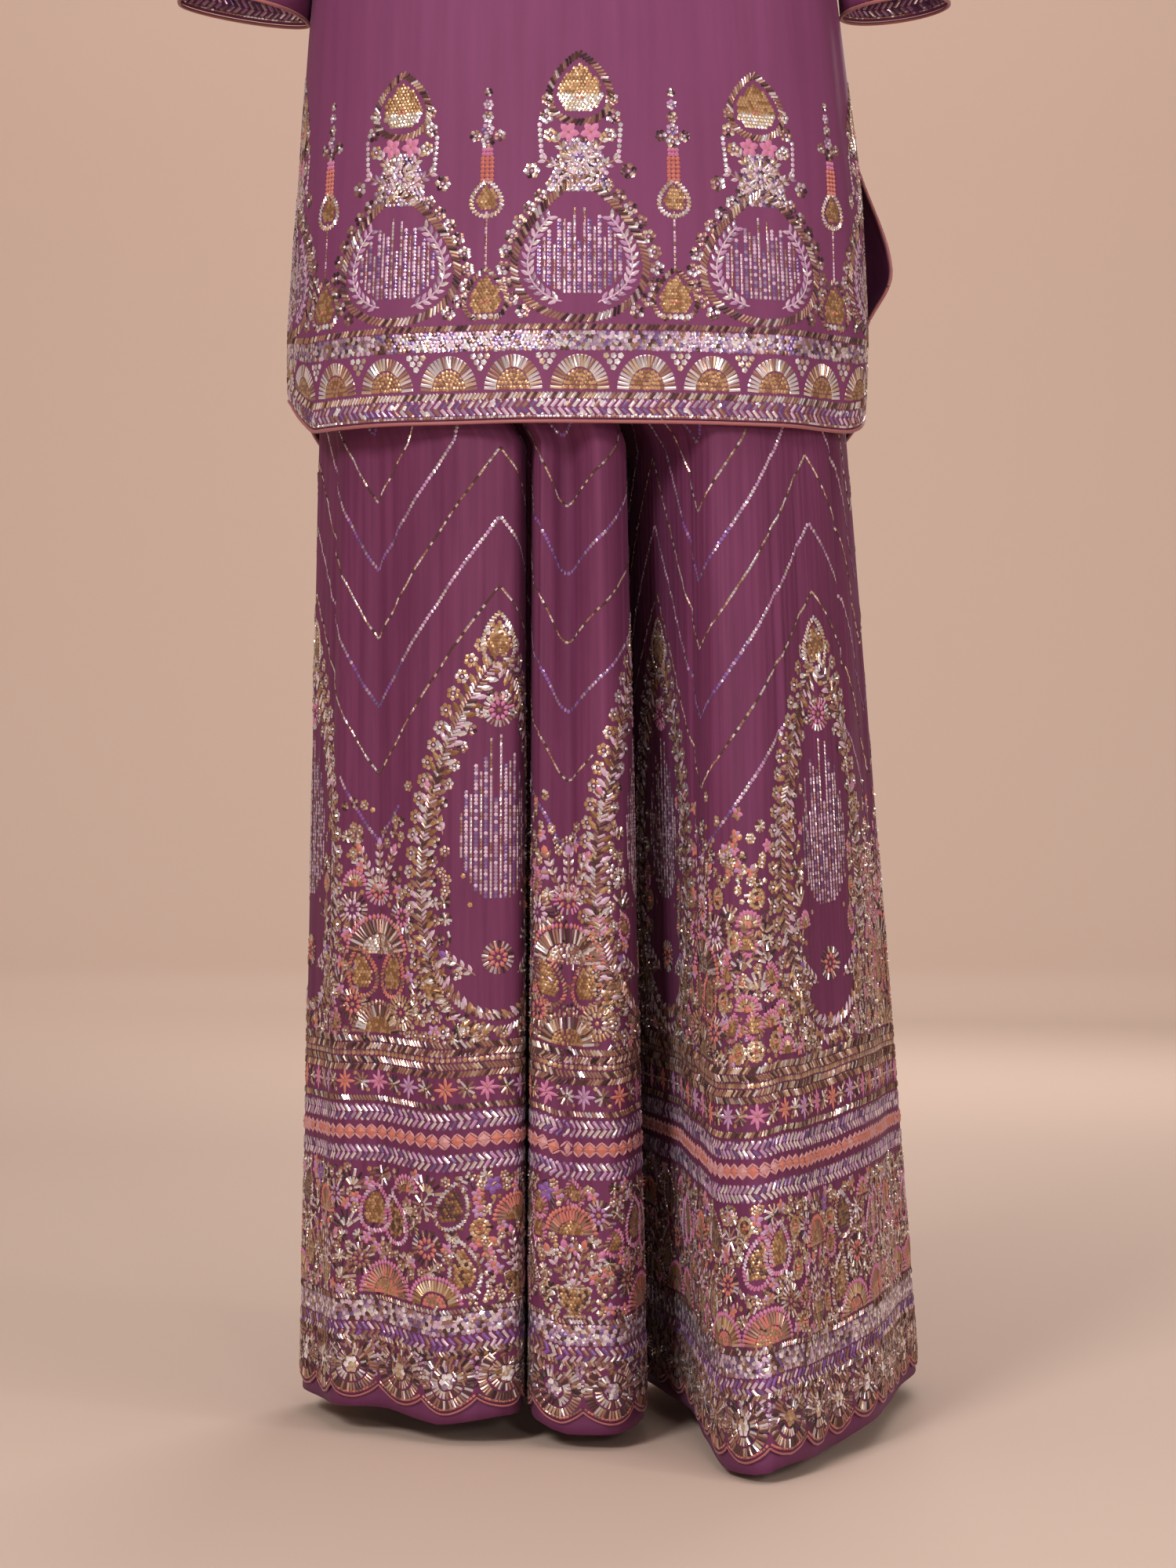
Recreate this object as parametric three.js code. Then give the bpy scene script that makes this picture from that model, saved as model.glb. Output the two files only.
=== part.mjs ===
// A worn palazzo suit, held open as on a wearer who isn't there: a long-sleeved kurta with side slits
// over wide palazzo trousers. Each piece that a maker cuts and sews is a closed cloth wall of its own.
// Millimetres, +Z up, the front faces -Y, and the origin is midway between the shoulder seams.
import * as THREE from "three";

// Driving sizes
const CLOTH = 1.2; // thickness of a cloth wall, a crepe backed by its own lining
const SEAM = 0.3; // gap left between neighbouring pieces at a seam
const KURTA_HEM = -790;
const SLIT_TOP = -512; // where the side slits start, just below the hip bone
const SLIT_HALF_GAP = 5.5; // half of the slit's width once it is fully open
const UNDERARM = -200;
const SHOULDER_TIP = { x: 178, z: -14 };
const SHOULDER_NECK_Z = 22;
const FRONT_NECK_DROP = 88;
const BACK_NECK_DROP = 24;
const WAIST = -425; // the top of the trouser panels
const HIP = -600; // the fullest level of the hips
const CROTCH = -715;
const FOLD_TOP = -800; // the level of the topX and topY columns of the fold tables
const PALAZZO_HEM = -1478; // the tips of the scallops
const PIPING_RADIUS = 1.5;

// The kurta's horizontal sections: how far the cloth stands from the middle, on each side.
const KURTA_SECTIONS = [
  { z: KURTA_HEM, left: 208, right: 206, front: 150, back: 150 },
  { z: -730, left: 210, right: 209, front: 148, back: 148 },
  { z: -670, left: 208, right: 207, front: 145, back: 145 },
  { z: -605, left: 204, right: 203, front: 141, back: 141 },
  { z: -540, left: 200, right: 195, front: 137, back: 138 },
  { z: -470, left: 194, right: 186, front: 130, back: 133 },
  { z: -400, left: 181, right: 175, front: 121, back: 123 },
  { z: -340, left: 173, right: 169, front: 121, back: 114 },
  { z: -270, left: 174, right: 172, front: 132, back: 112 },
  { z: UNDERARM, left: 166, right: 166, front: 123, back: 110 },
];
const KURTA_ROUNDNESS = 2.3; // 2 is an ellipse, and more is boxier

// Above the underarm: half the panel's width at the armhole, and half the chest's width behind it.
const ARMHOLE_SECTIONS = [
  { z: UNDERARM, width: 166, chest: 166, front: 123, back: 110 },
  { z: -186, width: 155, chest: 171, front: 122, back: 110 },
  { z: -150, width: 145, chest: 176, front: 118, back: 108 },
  { z: -100, width: 144, chest: 182, front: 110, back: 104 },
  { z: -55, width: 155, chest: 190, front: 100, back: 98 },
  { z: SHOULDER_TIP.z, width: SHOULDER_TIP.x, chest: 200, front: 92, back: 92 },
  { z: SHOULDER_NECK_Z, width: SHOULDER_TIP.x, chest: 206, front: 88, back: 90 },
];
const YOKE_START = -150; // where the chest starts to roll over the shoulders
const YOKE_ROUNDNESS = 2.4;

// Soft vertical flutes that deepen towards the kurta's hem.
const FLUTES = [
  { waves: 9, depth: 1.9, turn: 0.6 },
  { waves: 14, depth: 1.1, turn: 2.1 },
];
const FLUTES_START = -560;

// The hem rises towards each slit corner, over the last degrees of its panel.
const CORNER_LIFT = { left: 30, right: 16, start: 62 };
const LIFT_END = -700; // above this the rows are level

// The back panel's right slit edge stands away from the body.
const SLIT_FLARE = { depth: 21, z: -668, below: 46, above: 92, reach: 16 };

// Each sleeve's rings below the armhole: its inner and outer edge from the middle of the body.
const SLEEVE_RINGS = {
  left: [
    { z: -115, tilt: 89, inner: 169.6, outer: 206, front: 77, back: 72 },
    { z: -137, tilt: 77, inner: 172, outer: 232, front: 70, back: 62 },
    { z: -171, tilt: 61, inner: 176, outer: 247, front: 62, back: 54 },
    { z: -218, tilt: 43, inner: 179.5, outer: 256, front: 56, back: 50 },
    { z: -280, tilt: 20, inner: 182, outer: 262, front: 52, back: 46 },
    { z: -345, tilt: 11, inner: 185, outer: 268, front: 53, back: 40 },
    { z: -412, tilt: 9, inner: 191, outer: 278, front: 56, back: 32 },
    { z: -478.5, tilt: 7.5, inner: 198, outer: 291, front: 62, back: 26 },
  ],
  right: [
    { z: -115, tilt: 89, inner: 169.6, outer: 206, front: 77, back: 72 },
    { z: -137, tilt: 77, inner: 172, outer: 231, front: 70, back: 62 },
    { z: -171, tilt: 61, inner: 176, outer: 245, front: 62, back: 54 },
    { z: -218, tilt: 43, inner: 179.5, outer: 253, front: 56, back: 50 },
    { z: -280, tilt: 20, inner: 181, outer: 257, front: 50, back: 48 },
    { z: -345, tilt: 10, inner: 182, outer: 260, front: 48, back: 44 },
    { z: -412, tilt: 6, inner: 185, outer: 263, front: 46, back: 40 },
    { z: -476, tilt: 4.5, inner: 190.5, outer: 268, front: 46, back: 38 },
  ],
};

// The trousers' rings above the crotch.
const WAIST_RING = { side: 146, front: 108, back: 108, z: WAIST };
const HIP_RING = { side: 184, front: 138.6, back: 138.6, z: HIP };
const CROTCH_RING = { side: 188, front: 134, back: 134, z: CROTCH };

// One row for each fold of a trouser leg, from the inseam round to the side seam and on round the back.
// topX and topY place it just below the kurta's hem, and hemX and hemY at the trousers' hem.
// wrap is its angle round the hips at the crotch's level: 0 at the centre front or back, 90 at the side.
// drop is how far its hem hangs below the rest.
const FOLDS = {
  left: {
    front: [
      { fold: "inseam", wrap: 0, topX: 20, topY: 12, hemX: 24, hemY: 100, drop: 0 },
      { fold: "inner wall", wrap: 0, topX: 25, topY: -50, hemX: 40, hemY: 6, drop: 0 },
      { fold: "inner lip", wrap: 3, topX: 31, topY: -110, hemX: 46, hemY: -88, drop: 0 },
      { fold: "inner pleat", wrap: 9, topX: 14, topY: -134, hemX: 26, hemY: -126, drop: 4 },
      { fold: "pleat crease", wrap: 17, topX: -10, topY: -118, hemX: -8, hemY: -124, drop: 4 },
      { fold: "pleat lip", wrap: 24, topX: -27, topY: -127, hemX: -31, hemY: -111, drop: 0 },
      { fold: "deep fold", wrap: 29, topX: -36, topY: -84, hemX: -38, hemY: -34, drop: 0 },
      { fold: "panel lip", wrap: 34, topX: -45, topY: -122, hemX: -46, hemY: -104, drop: 0 },
      { fold: "panel middle", wrap: 44, topX: -74, topY: -127, hemX: -80, hemY: -112, drop: 0 },
      { fold: "panel side", wrap: 53, topX: -112, topY: -112, hemX: -112, hemY: -97, drop: 0 },
      { fold: "shallow crease", wrap: 62, topX: -144, topY: -86, hemX: -141, hemY: -70, drop: 0 },
      { fold: "side pleat", wrap: 72, topX: -167, topY: -66, hemX: -174, hemY: -54, drop: 0 },
      { fold: "side crease", wrap: 81, topX: -179, topY: -34, hemX: -189, hemY: -14, drop: 0 },
    ],
    back: [
      { fold: "side seam", wrap: 90, topX: -191, topY: 6, hemX: -207, hemY: 34, drop: 0 },
      { fold: "back side pleat", wrap: 80, topX: -180, topY: 52, hemX: -198, hemY: 90, drop: 0 },
      { fold: "back shallow crease", wrap: 70, topX: -154, topY: 78, hemX: -166, hemY: 108, drop: 0 },
      { fold: "back panel side", wrap: 60, topX: -124, topY: 114, hemX: -134, hemY: 149, drop: 0 },
      { fold: "back panel lip", wrap: 48, topX: -88, topY: 127, hemX: -98, hemY: 160, drop: 0 },
      { fold: "back deep fold", wrap: 42, topX: -78, topY: 90, hemX: -88, hemY: 88, drop: 0 },
      { fold: "back pleat lip", wrap: 36, topX: -67, topY: 129, hemX: -76, hemY: 160, drop: 0 },
      { fold: "back pleat", wrap: 24, topX: -38, topY: 133, hemX: -38, hemY: 168, drop: 0 },
      { fold: "back crease", wrap: 15, topX: -14, topY: 117, hemX: -2, hemY: 144, drop: 0 },
      { fold: "back inner pleat", wrap: 7, topX: 3, topY: 110, hemX: 12, hemY: 150, drop: 0 },
      { fold: "back inner wall", wrap: 0, topX: 14, topY: 66, hemX: 20, hemY: 134, drop: 0 },
      { fold: "inseam", wrap: 0, topX: 20, topY: 12, hemX: 24, hemY: 100, drop: 0 },
    ],
  },
  right: {
    front: [
      { fold: "inseam", wrap: 0, topX: 33, topY: 14, hemX: 38, hemY: 116, drop: 0 },
      { fold: "inner wall", wrap: 0, topX: 40, topY: -34, hemX: 55, hemY: 24, drop: 0 },
      { fold: "recess wall", wrap: 2, topX: 55, topY: -70, hemX: 76, hemY: -56, drop: 2 },
      { fold: "inner lip", wrap: 7, topX: 75, topY: -108, hemX: 85, hemY: -146, drop: 8 },
      { fold: "front pleat", wrap: 16, topX: 92, topY: -129, hemX: 98, hemY: -216, drop: 12 },
      { fold: "front ridge", wrap: 26, topX: 113, topY: -125, hemX: 122, hemY: -246, drop: 12 },
      { fold: "panel middle", wrap: 37, topX: 134, topY: -113, hemX: 152, hemY: -214, drop: 8 },
      { fold: "shallow crease", wrap: 48, topX: 150, topY: -101, hemX: 176, hemY: -160, drop: 4 },
      { fold: "panel side", wrap: 58, topX: 168, topY: -86, hemX: 207, hemY: -106, drop: 0 },
      { fold: "side pleat", wrap: 69, topX: 183, topY: -60, hemX: 224, hemY: -38, drop: 0 },
      { fold: "side crease", wrap: 80, topX: 189, topY: -33, hemX: 238, hemY: 36, drop: 0 },
    ],
    back: [
      { fold: "side seam", wrap: 90, topX: 195, topY: 6, hemX: 256, hemY: 108, drop: 0 },
      { fold: "back side pleat", wrap: 80, topX: 186, topY: 54, hemX: 250, hemY: 160, drop: 0 },
      { fold: "back panel side", wrap: 69, topX: 160, topY: 91, hemX: 222, hemY: 196, drop: 0 },
      { fold: "back shallow crease", wrap: 59, topX: 138, topY: 98, hemX: 194, hemY: 188, drop: 0 },
      { fold: "back panel lip", wrap: 47, topX: 110, topY: 122, hemX: 164, hemY: 206, drop: 0 },
      { fold: "back deep fold", wrap: 40, topX: 98, topY: 90, hemX: 152, hemY: 140, drop: 0 },
      { fold: "back pleat lip", wrap: 33, topX: 86, topY: 128, hemX: 138, hemY: 201, drop: 0 },
      { fold: "back pleat", wrap: 20, topX: 60, topY: 122, hemX: 98, hemY: 192, drop: 0 },
      { fold: "back inner wall", wrap: 4, topX: 38, topY: 76, hemX: 48, hemY: 162, drop: 0 },
      { fold: "inseam", wrap: 0, topX: 33, topY: 14, hemX: 38, hemY: 116, drop: 0 },
    ],
  },
};

// Resolution, and the scallops that it follows
const SCALLOP = { width: 42, depth: 9, steps: 3 };
const LEG_LEVELS_BELOW = [0, 0.25, 0.5, 0.75, 0.93, 1]; // shares of the way from FOLD_TOP to the hem
const LEG_LEVELS_ABOVE = [WAIST, -510, HIP, -655, CROTCH];
const KURTA_COLUMNS = 24; // a multiple of 8, so that a column meets the neck corner
const KURTA_BODY_LEVELS = [KURTA_HEM, -725, -668, -612, -562, SLIT_TOP, -440, -340, -270];
const YOKE_LEVELS = 7; // the sleeves have twice as many columns, two to each level

// Lining of the trousers, which shows below the scallops
const LINING = { offset: 2.1, wall: 1, top: 0.93, drop: 8 }; // top is one of LEG_LEVELS_BELOW
const WAISTBAND = { height: 34, wall: 3, columns: 44 };

const COLOURS = { crepe: 0x6f3a5e, lining: 0x74406a, piping: 0xb4646c, casing: 0x6a3859 };

const lerp = (a, b, t) => a + (b - a) * t;
const clamp01 = (t) => Math.min(1, Math.max(0, t));
const smooth = (t) => clamp01(t) ** 2 * (3 - 2 * clamp01(t));
const signedPower = (value, power) => Math.sign(value) * Math.abs(value) ** power;

// Reads every column of a table at a height, with a smooth curve through its rows.
function atHeight(table, z) {
  const rows = [...table].sort((a, b) => a.z - b.z);
  const last = rows.length - 1;
  const i = Math.min(last - 1, Math.max(0, rows.findIndex((row) => row.z > z) - 1));
  const at = z >= rows[last].z ? last - 1 : i;
  const [a, b] = [rows[at], rows[at + 1]];
  const t = clamp01((z - a.z) / (b.z - a.z));
  const slope = (k, name) => {
    const [low, high] = [rows[Math.max(0, k - 1)], rows[Math.min(last, k + 1)]];
    return ((high[name] - low[name]) / (high.z - low.z)) * (b.z - a.z);
  };
  const read = {};
  for (const name of Object.keys(a).filter((key) => typeof a[key] === "number")) {
    const [ma, mb] = [slope(at, name), slope(at + 1, name)];
    read[name] =
      (2 * t ** 3 - 3 * t ** 2 + 1) * a[name] +
      (t ** 3 - 2 * t ** 2 + t) * ma +
      (-2 * t ** 3 + 3 * t ** 2) * b[name] +
      (t ** 3 - t ** 2) * mb;
  }
  return read;
}

// Unit normals of a grid of points, turned to the side where facing(point, i, j) points.
function gridNormals(grid, closed, facing) {
  const rows = grid.length;
  const columns = grid[0].length;
  const column = (j) => (closed ? (j + columns) % columns : Math.min(columns - 1, Math.max(0, j)));
  const pick = (i, j) => grid[i][column(j)];
  return grid.map((row, i) =>
    row.map((point, j) => {
      const across = pick(i, j + 1).clone().sub(pick(i, j - 1));
      const up = grid[Math.min(rows - 1, i + 1)][j].clone().sub(grid[Math.max(0, i - 1)][j]);
      const normal = across.cross(up).normalize();
      return normal.dot(facing(point, i, j)) < 0 ? normal.negate() : normal;
    }),
  );
}

// A closed cloth wall: the grid is its outer face, and its points moved in along their normals its inner.
function wall(grid, normals, thickness, closed = false, hold = (p) => p) {
  const rows = grid.length;
  const columns = grid[0].length;
  const outer = grid.flat().map((p) => hold(p.clone()));
  const sunk = (p, normal) => hold(p.clone().addScaledVector(normal, -thickness));
  const inner = grid.flatMap((row, i) => row.map((p, j) => sunk(p, normals[i][j])));
  const points = [...outer, ...inner];
  const back = rows * columns;
  const id = (i, j) => i * columns + (j % columns);
  const across = grid[0][1].clone().sub(grid[0][0]);
  const flip = across.cross(grid[1][0].clone().sub(grid[0][0])).dot(normals[0][0]) < 0;
  const faces = [];
  const quad = (a, b, c, d) => {
    if (flip) faces.push(a, c, b, a, d, c);
    else faces.push(a, b, c, a, c, d);
  };
  const spans = closed ? columns : columns - 1;
  for (let i = 0; i + 1 < rows; i++) {
    for (let j = 0; j < spans; j++) {
      quad(id(i, j), id(i, j + 1), id(i + 1, j + 1), id(i + 1, j));
      quad(back + id(i, j), back + id(i + 1, j), back + id(i + 1, j + 1), back + id(i, j + 1));
    }
  }
  for (let j = 0; j < spans; j++) {
    quad(id(0, j + 1), id(0, j), back + id(0, j), back + id(0, j + 1));
    quad(id(rows - 1, j), id(rows - 1, j + 1), back + id(rows - 1, j + 1), back + id(rows - 1, j));
  }
  if (!closed) {
    for (let i = 0; i + 1 < rows; i++) {
      quad(id(i, 0), id(i + 1, 0), back + id(i + 1, 0), back + id(i, 0));
      const last = columns - 1;
      quad(id(i + 1, last), id(i, last), back + id(i, last), back + id(i + 1, last));
    }
  }
  return solid(points, faces);
}

function solid(points, faces) {
  const geometry = new THREE.BufferGeometry();
  const numbers = points.flatMap((p) => [p.x, p.y, p.z]);
  geometry.setAttribute("position", new THREE.Float32BufferAttribute(numbers, 3));
  geometry.setIndex(faces);
  geometry.computeVertexNormals();
  return geometry;
}

// A piping of round section along a path. Each step has its centre and two directions across it.
function piping(steps, radius, closed = false) {
  const sides = 6;
  const points = steps.flatMap(({ centre, out, up }) =>
    Array.from({ length: sides }, (_, k) => {
      const angle = (2 * Math.PI * k) / sides;
      return centre
        .clone()
        .addScaledVector(out, radius * Math.cos(angle))
        .addScaledVector(up, radius * Math.sin(angle));
    }),
  );
  const faces = [];
  const spans = closed ? steps.length : steps.length - 1;
  const id = (i, k) => (i % steps.length) * sides + (k % sides);
  for (let i = 0; i < spans; i++) {
    for (let k = 0; k < sides; k++) {
      faces.push(id(i, k), id(i, k + 1), id(i + 1, k + 1), id(i, k), id(i + 1, k + 1), id(i + 1, k));
    }
  }
  if (!closed) {
    for (let k = 1; k + 1 < sides; k++) {
      faces.push(id(0, 0), id(0, k + 1), id(0, k));
      faces.push(id(steps.length - 1, 0), id(steps.length - 1, k), id(steps.length - 1, k + 1));
    }
  }
  // The path's first step decides which way round the sides run.
  const along = steps[1].centre.clone().sub(steps[0].centre);
  if (steps[0].out.clone().cross(steps[0].up).dot(along) < 0) faces.reverse();
  return solid(points, faces);
}

// Kurta

// A point of the body below the underarm. The angle is 0 at the centre front and grows to the right.
function kurtaBody(angle, z) {
  const section = atHeight(KURTA_SECTIONS, z);
  const power = 2 / KURTA_ROUNDNESS;
  const x = (Math.sin(angle) < 0 ? section.left : section.right) * signedPower(Math.sin(angle), power);
  const y = -(Math.cos(angle) > 0 ? section.front : section.back) * signedPower(Math.cos(angle), power);
  const grown = smooth((FLUTES_START - z) / (FLUTES_START - KURTA_HEM));
  const flute = FLUTES.reduce((sum, f) => sum + f.depth * Math.cos(f.waves * angle + f.turn), 0);
  const scale = 1 + (grown * flute) / Math.hypot(x, y);
  return new THREE.Vector3(x * scale, y * scale, z);
}

// How far the back's right slit edge stands out at an angle and height.
function slitFlare(angle, z) {
  const reach = (SLIT_FLARE.reach * Math.PI) / 180;
  const across = Math.exp(-(((angle - Math.PI / 2) / reach) ** 2));
  const rise = z - SLIT_FLARE.z;
  const away = rise > 0 ? rise / SLIT_FLARE.above : -rise / SLIT_FLARE.below;
  return SLIT_FLARE.depth * across * (1 - smooth(away));
}

// How far the hem rises at an angle from the middle of its panel.
function cornerLift(turn) {
  const start = (CORNER_LIFT.start * Math.PI) / 180;
  const lift = turn < 0 ? CORNER_LIFT.left : CORNER_LIFT.right;
  return lift * smooth((Math.abs(turn) - start) / (Math.PI / 2 - start));
}

// Half the slit's width at a height, as an angle at the side.
function slitAngle(z) {
  const half = lerp(SEAM / 2, SLIT_HALF_GAP, smooth((SLIT_TOP - z) / 60));
  return (half / atHeight(KURTA_SECTIONS, z).front) ** (KURTA_ROUNDNESS / 2);
}

const neckAngle = Math.PI / 8;
const acrossOf = (angle) => signedPower(Math.sin(angle), 2 / KURTA_ROUNDNESS);
const NECK_HALF = SHOULDER_TIP.x * acrossOf(neckAngle);

// The height of the panel's top edge: the neckline, and the shoulder seam beside it.
function topEdge(x, drop) {
  const away = Math.abs(x);
  if (away >= NECK_HALF - 1e-6) {
    return lerp(SHOULDER_NECK_Z, SHOULDER_TIP.z, (away - NECK_HALF) / (SHOULDER_TIP.x - NECK_HALF));
  }
  return SHOULDER_NECK_Z - drop * (1 - (away / NECK_HALF) ** 2.3) ** (1 / 2.3);
}

// A point of the yoke, at a share of the panel's half width and of the way up from the underarm.
function yoke(side, across, share) {
  const drop = side < 0 ? FRONT_NECK_DROP : BACK_NECK_DROP;
  const top = topEdge(across * SHOULDER_TIP.x, drop);
  const z = lerp(UNDERARM, top, share);
  const section = atHeight(ARMHOLE_SECTIONS, z);
  const x = across * lerp(section.width, SHOULDER_TIP.x, smooth((share - 0.8) / 0.2));
  const ridge = Math.abs(x) < NECK_HALF ? SHOULDER_NECK_Z : topEdge(x, drop);
  const roll = clamp01((z - YOKE_START) / (ridge - YOKE_START));
  const over = (1 - roll ** YOKE_ROUNDNESS) ** (1 / YOKE_ROUNDNESS);
  const chest = Math.min(1, Math.abs(x) / section.chest);
  const reach = side < 0 ? section.front : section.back;
  const depth = reach * (1 - chest ** KURTA_ROUNDNESS) ** (1 / KURTA_ROUNDNESS);
  return new THREE.Vector3(x, side * Math.max(SEAM / 2, depth * over), z);
}

// The outer face of a kurta panel, from the hem up. side is -1 for the front and 1 for the back.
function kurtaGrid(side) {
  const grid = [];
  for (const z of KURTA_BODY_LEVELS) {
    const half = Math.PI / 2 - slitAngle(z);
    grid.push(
      Array.from({ length: KURTA_COLUMNS + 1 }, (_, j) => {
        const turn = ((2 * j) / KURTA_COLUMNS - 1) * half;
        const angle = side < 0 ? turn : Math.PI - turn;
        const lift = cornerLift(turn) * smooth((z - LIFT_END) / (KURTA_HEM - LIFT_END));
        const point = kurtaBody(angle, z + lift);
        if (side > 0) point.x += slitFlare(angle, z);
        return point;
      }),
    );
  }
  for (let i = 0; i <= YOKE_LEVELS; i++) {
    grid.push(
      Array.from({ length: KURTA_COLUMNS + 1 }, (_, j) => {
        const turn = ((2 * j) / KURTA_COLUMNS - 1) * (Math.PI / 2);
        return yoke(side, acrossOf(turn), (1 - Math.cos((Math.PI * i) / YOKE_LEVELS)) / 2);
      }),
    );
  }
  return grid;
}

function kurtaPanel(side) {
  const grid = kurtaGrid(side);
  const normals = gridNormals(grid, false, (p) => new THREE.Vector3(p.x / 3, p.y, p.z > -100 ? 60 : 0));
  const hold = (p) => {
    p.y = side < 0 ? Math.min(p.y, -SEAM / 2) : Math.max(p.y, SEAM / 2);
    return p;
  };
  return { grid, normals, geometry: wall(grid, normals, CLOTH, false, hold) };
}

// The piping round a panel's free edge: down one slit, along the hem and up the other.
function kurtaPiping({ grid, normals }) {
  const slitRows = KURTA_BODY_LEVELS.filter((z) => z < SLIT_TOP).length;
  const last = KURTA_COLUMNS;
  const path = [];
  for (let i = slitRows - 1; i > 0; i--) path.push([i, 0]);
  for (let j = 0; j <= last; j++) path.push([0, j]);
  for (let i = 1; i < slitRows; i++) path.push([i, last]);
  const away = PIPING_RADIUS + SEAM + 0.15;
  const steps = path.map(([i, j]) => {
    const out = new THREE.Vector3();
    if (i === 0) out.add(grid[0][j].clone().sub(grid[1][j]).normalize());
    if (j === 0) out.add(grid[i][0].clone().sub(grid[i][1]).normalize());
    if (j === last) out.add(grid[i][last].clone().sub(grid[i][last - 1]).normalize());
    const up = normals[i][j];
    out.addScaledVector(up, -out.dot(up));
    const centre = grid[i][j].clone().addScaledVector(out, away).addScaledVector(up, -CLOTH / 2);
    return { centre, out: out.normalize(), up };
  });
  return piping(steps, PIPING_RADIUS);
}

// Sleeves

// The outer face of a sleeve, from its hem up to the armhole's own points on the two panels.
// A turn is 0 on the outer side of the arm, 90 degrees at the front and 180 at the underarm.
function sleeveGrid(name, front, back) {
  const sign = name === "left" ? -1 : 1;
  const rings = [...SLEEVE_RINGS[name]].reverse();
  const columns = 2 * YOKE_LEVELS;
  const grid = rings.map((ring) =>
    Array.from({ length: columns }, (_, j) => {
      const turn = (2 * Math.PI * j) / columns;
      const depth = Math.sin(turn) > 0 ? ring.front : ring.back;
      const half = (ring.outer - ring.inner) / 2;
      const x = ring.inner + half + half * Math.cos(turn);
      return new THREE.Vector3(sign * x, -depth * Math.sin(turn), ring.z + ring.tilt * Math.cos(turn));
    }),
  );
  const edge = name === "left" ? 0 : KURTA_COLUMNS;
  grid.push(
    Array.from({ length: columns }, (_, j) => {
      const level = front.grid.length - 1 - (j <= YOKE_LEVELS ? j : columns - j);
      const panel = j <= YOKE_LEVELS ? front : back;
      const point = panel.grid[level][edge].clone();
      if (j % YOKE_LEVELS === 0) point.y = 0;
      point.x += sign * 2 * SEAM;
      return point;
    }),
  );
  return grid;
}

function sleeve(name, front, back) {
  const grid = sleeveGrid(name, front, back);
  const middle = (row) => row.reduce((sum, p) => sum.add(p), new THREE.Vector3()).divideScalar(row.length);
  const centres = grid.map(middle);
  const normals = gridNormals(grid, true, (p, i) => p.clone().sub(centres[i]));
  for (const normal of normals[normals.length - 1]) normal.setX(0).normalize();
  return { grid, normals, geometry: wall(grid, normals, CLOTH, true) };
}

function sleevePiping({ grid, normals }) {
  const steps = grid[0].map((point, j) => {
    const up = normals[0][j];
    const out = point.clone().sub(grid[1][j]);
    out.addScaledVector(up, -out.dot(up)).normalize();
    const centre = point
      .clone()
      .addScaledVector(out, PIPING_RADIUS + SEAM)
      .addScaledVector(up, -CLOTH / 2);
    return { centre, out, up };
  });
  return piping(steps, PIPING_RADIUS, true);
}

// Trousers

const legRows = (leg) => [...FOLDS[leg].front, ...FOLDS[leg].back];

// A place on a ring round the hips. share is 0 at the centre front, 0.5 at the side and 1 at the back.
function hipPoint(ring, sign, share) {
  const angle = share * Math.PI;
  const depth = Math.cos(angle) > 0 ? ring.front : ring.back;
  return [sign * Math.max(SEAM / 2, ring.side * Math.sin(angle)), -depth * Math.cos(angle)];
}

// Where each fold of a leg lies at a height.
function foldsAt(leg, z) {
  const sign = leg === "left" ? -1 : 1;
  const rows = legRows(leg);
  const seam = FOLDS[leg].front.length;
  return rows.map((row, k) => {
    const onFront = k <= seam;
    const wrapped = ((onFront ? row.wrap : 180 - row.wrap) * Math.PI) / 180;
    const spread = onFront ? (0.5 * k) / seam : 0.5 + (0.5 * (k - seam)) / (rows.length - 1 - seam);
    const onPlane = row.wrap === 0;
    const crotch = onPlane
      ? [(sign * SEAM) / 2, row.topY]
      : [sign * CROTCH_RING.side * Math.sin(wrapped), -CROTCH_RING.front * Math.cos(wrapped)];
    if (z <= FOLD_TOP) {
      const t = (FOLD_TOP - z) / (FOLD_TOP - PALAZZO_HEM);
      return [lerp(row.topX, row.hemX, t), lerp(row.topY, row.hemY, t)];
    }
    if (z <= CROTCH) {
      const t = (CROTCH - z) / (CROTCH - FOLD_TOP);
      return [lerp(crotch[0], row.topX, t), lerp(crotch[1], row.topY, t)];
    }
    const hip = hipPoint(HIP_RING, sign, spread);
    if (z <= HIP) {
      const t = 1 - (1 - (z - CROTCH) / (HIP - CROTCH)) ** 2;
      return [lerp(crotch[0], hip[0], t), lerp(crotch[1], hip[1], t)];
    }
    const waist = hipPoint(WAIST_RING, sign, spread);
    const t = smooth((z - HIP) / (WAIST - HIP)) * 0.55 + ((z - HIP) / (WAIST - HIP)) * 0.45;
    return [lerp(hip[0], waist[0], t), lerp(hip[1], waist[1], t)];
  });
}

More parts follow.
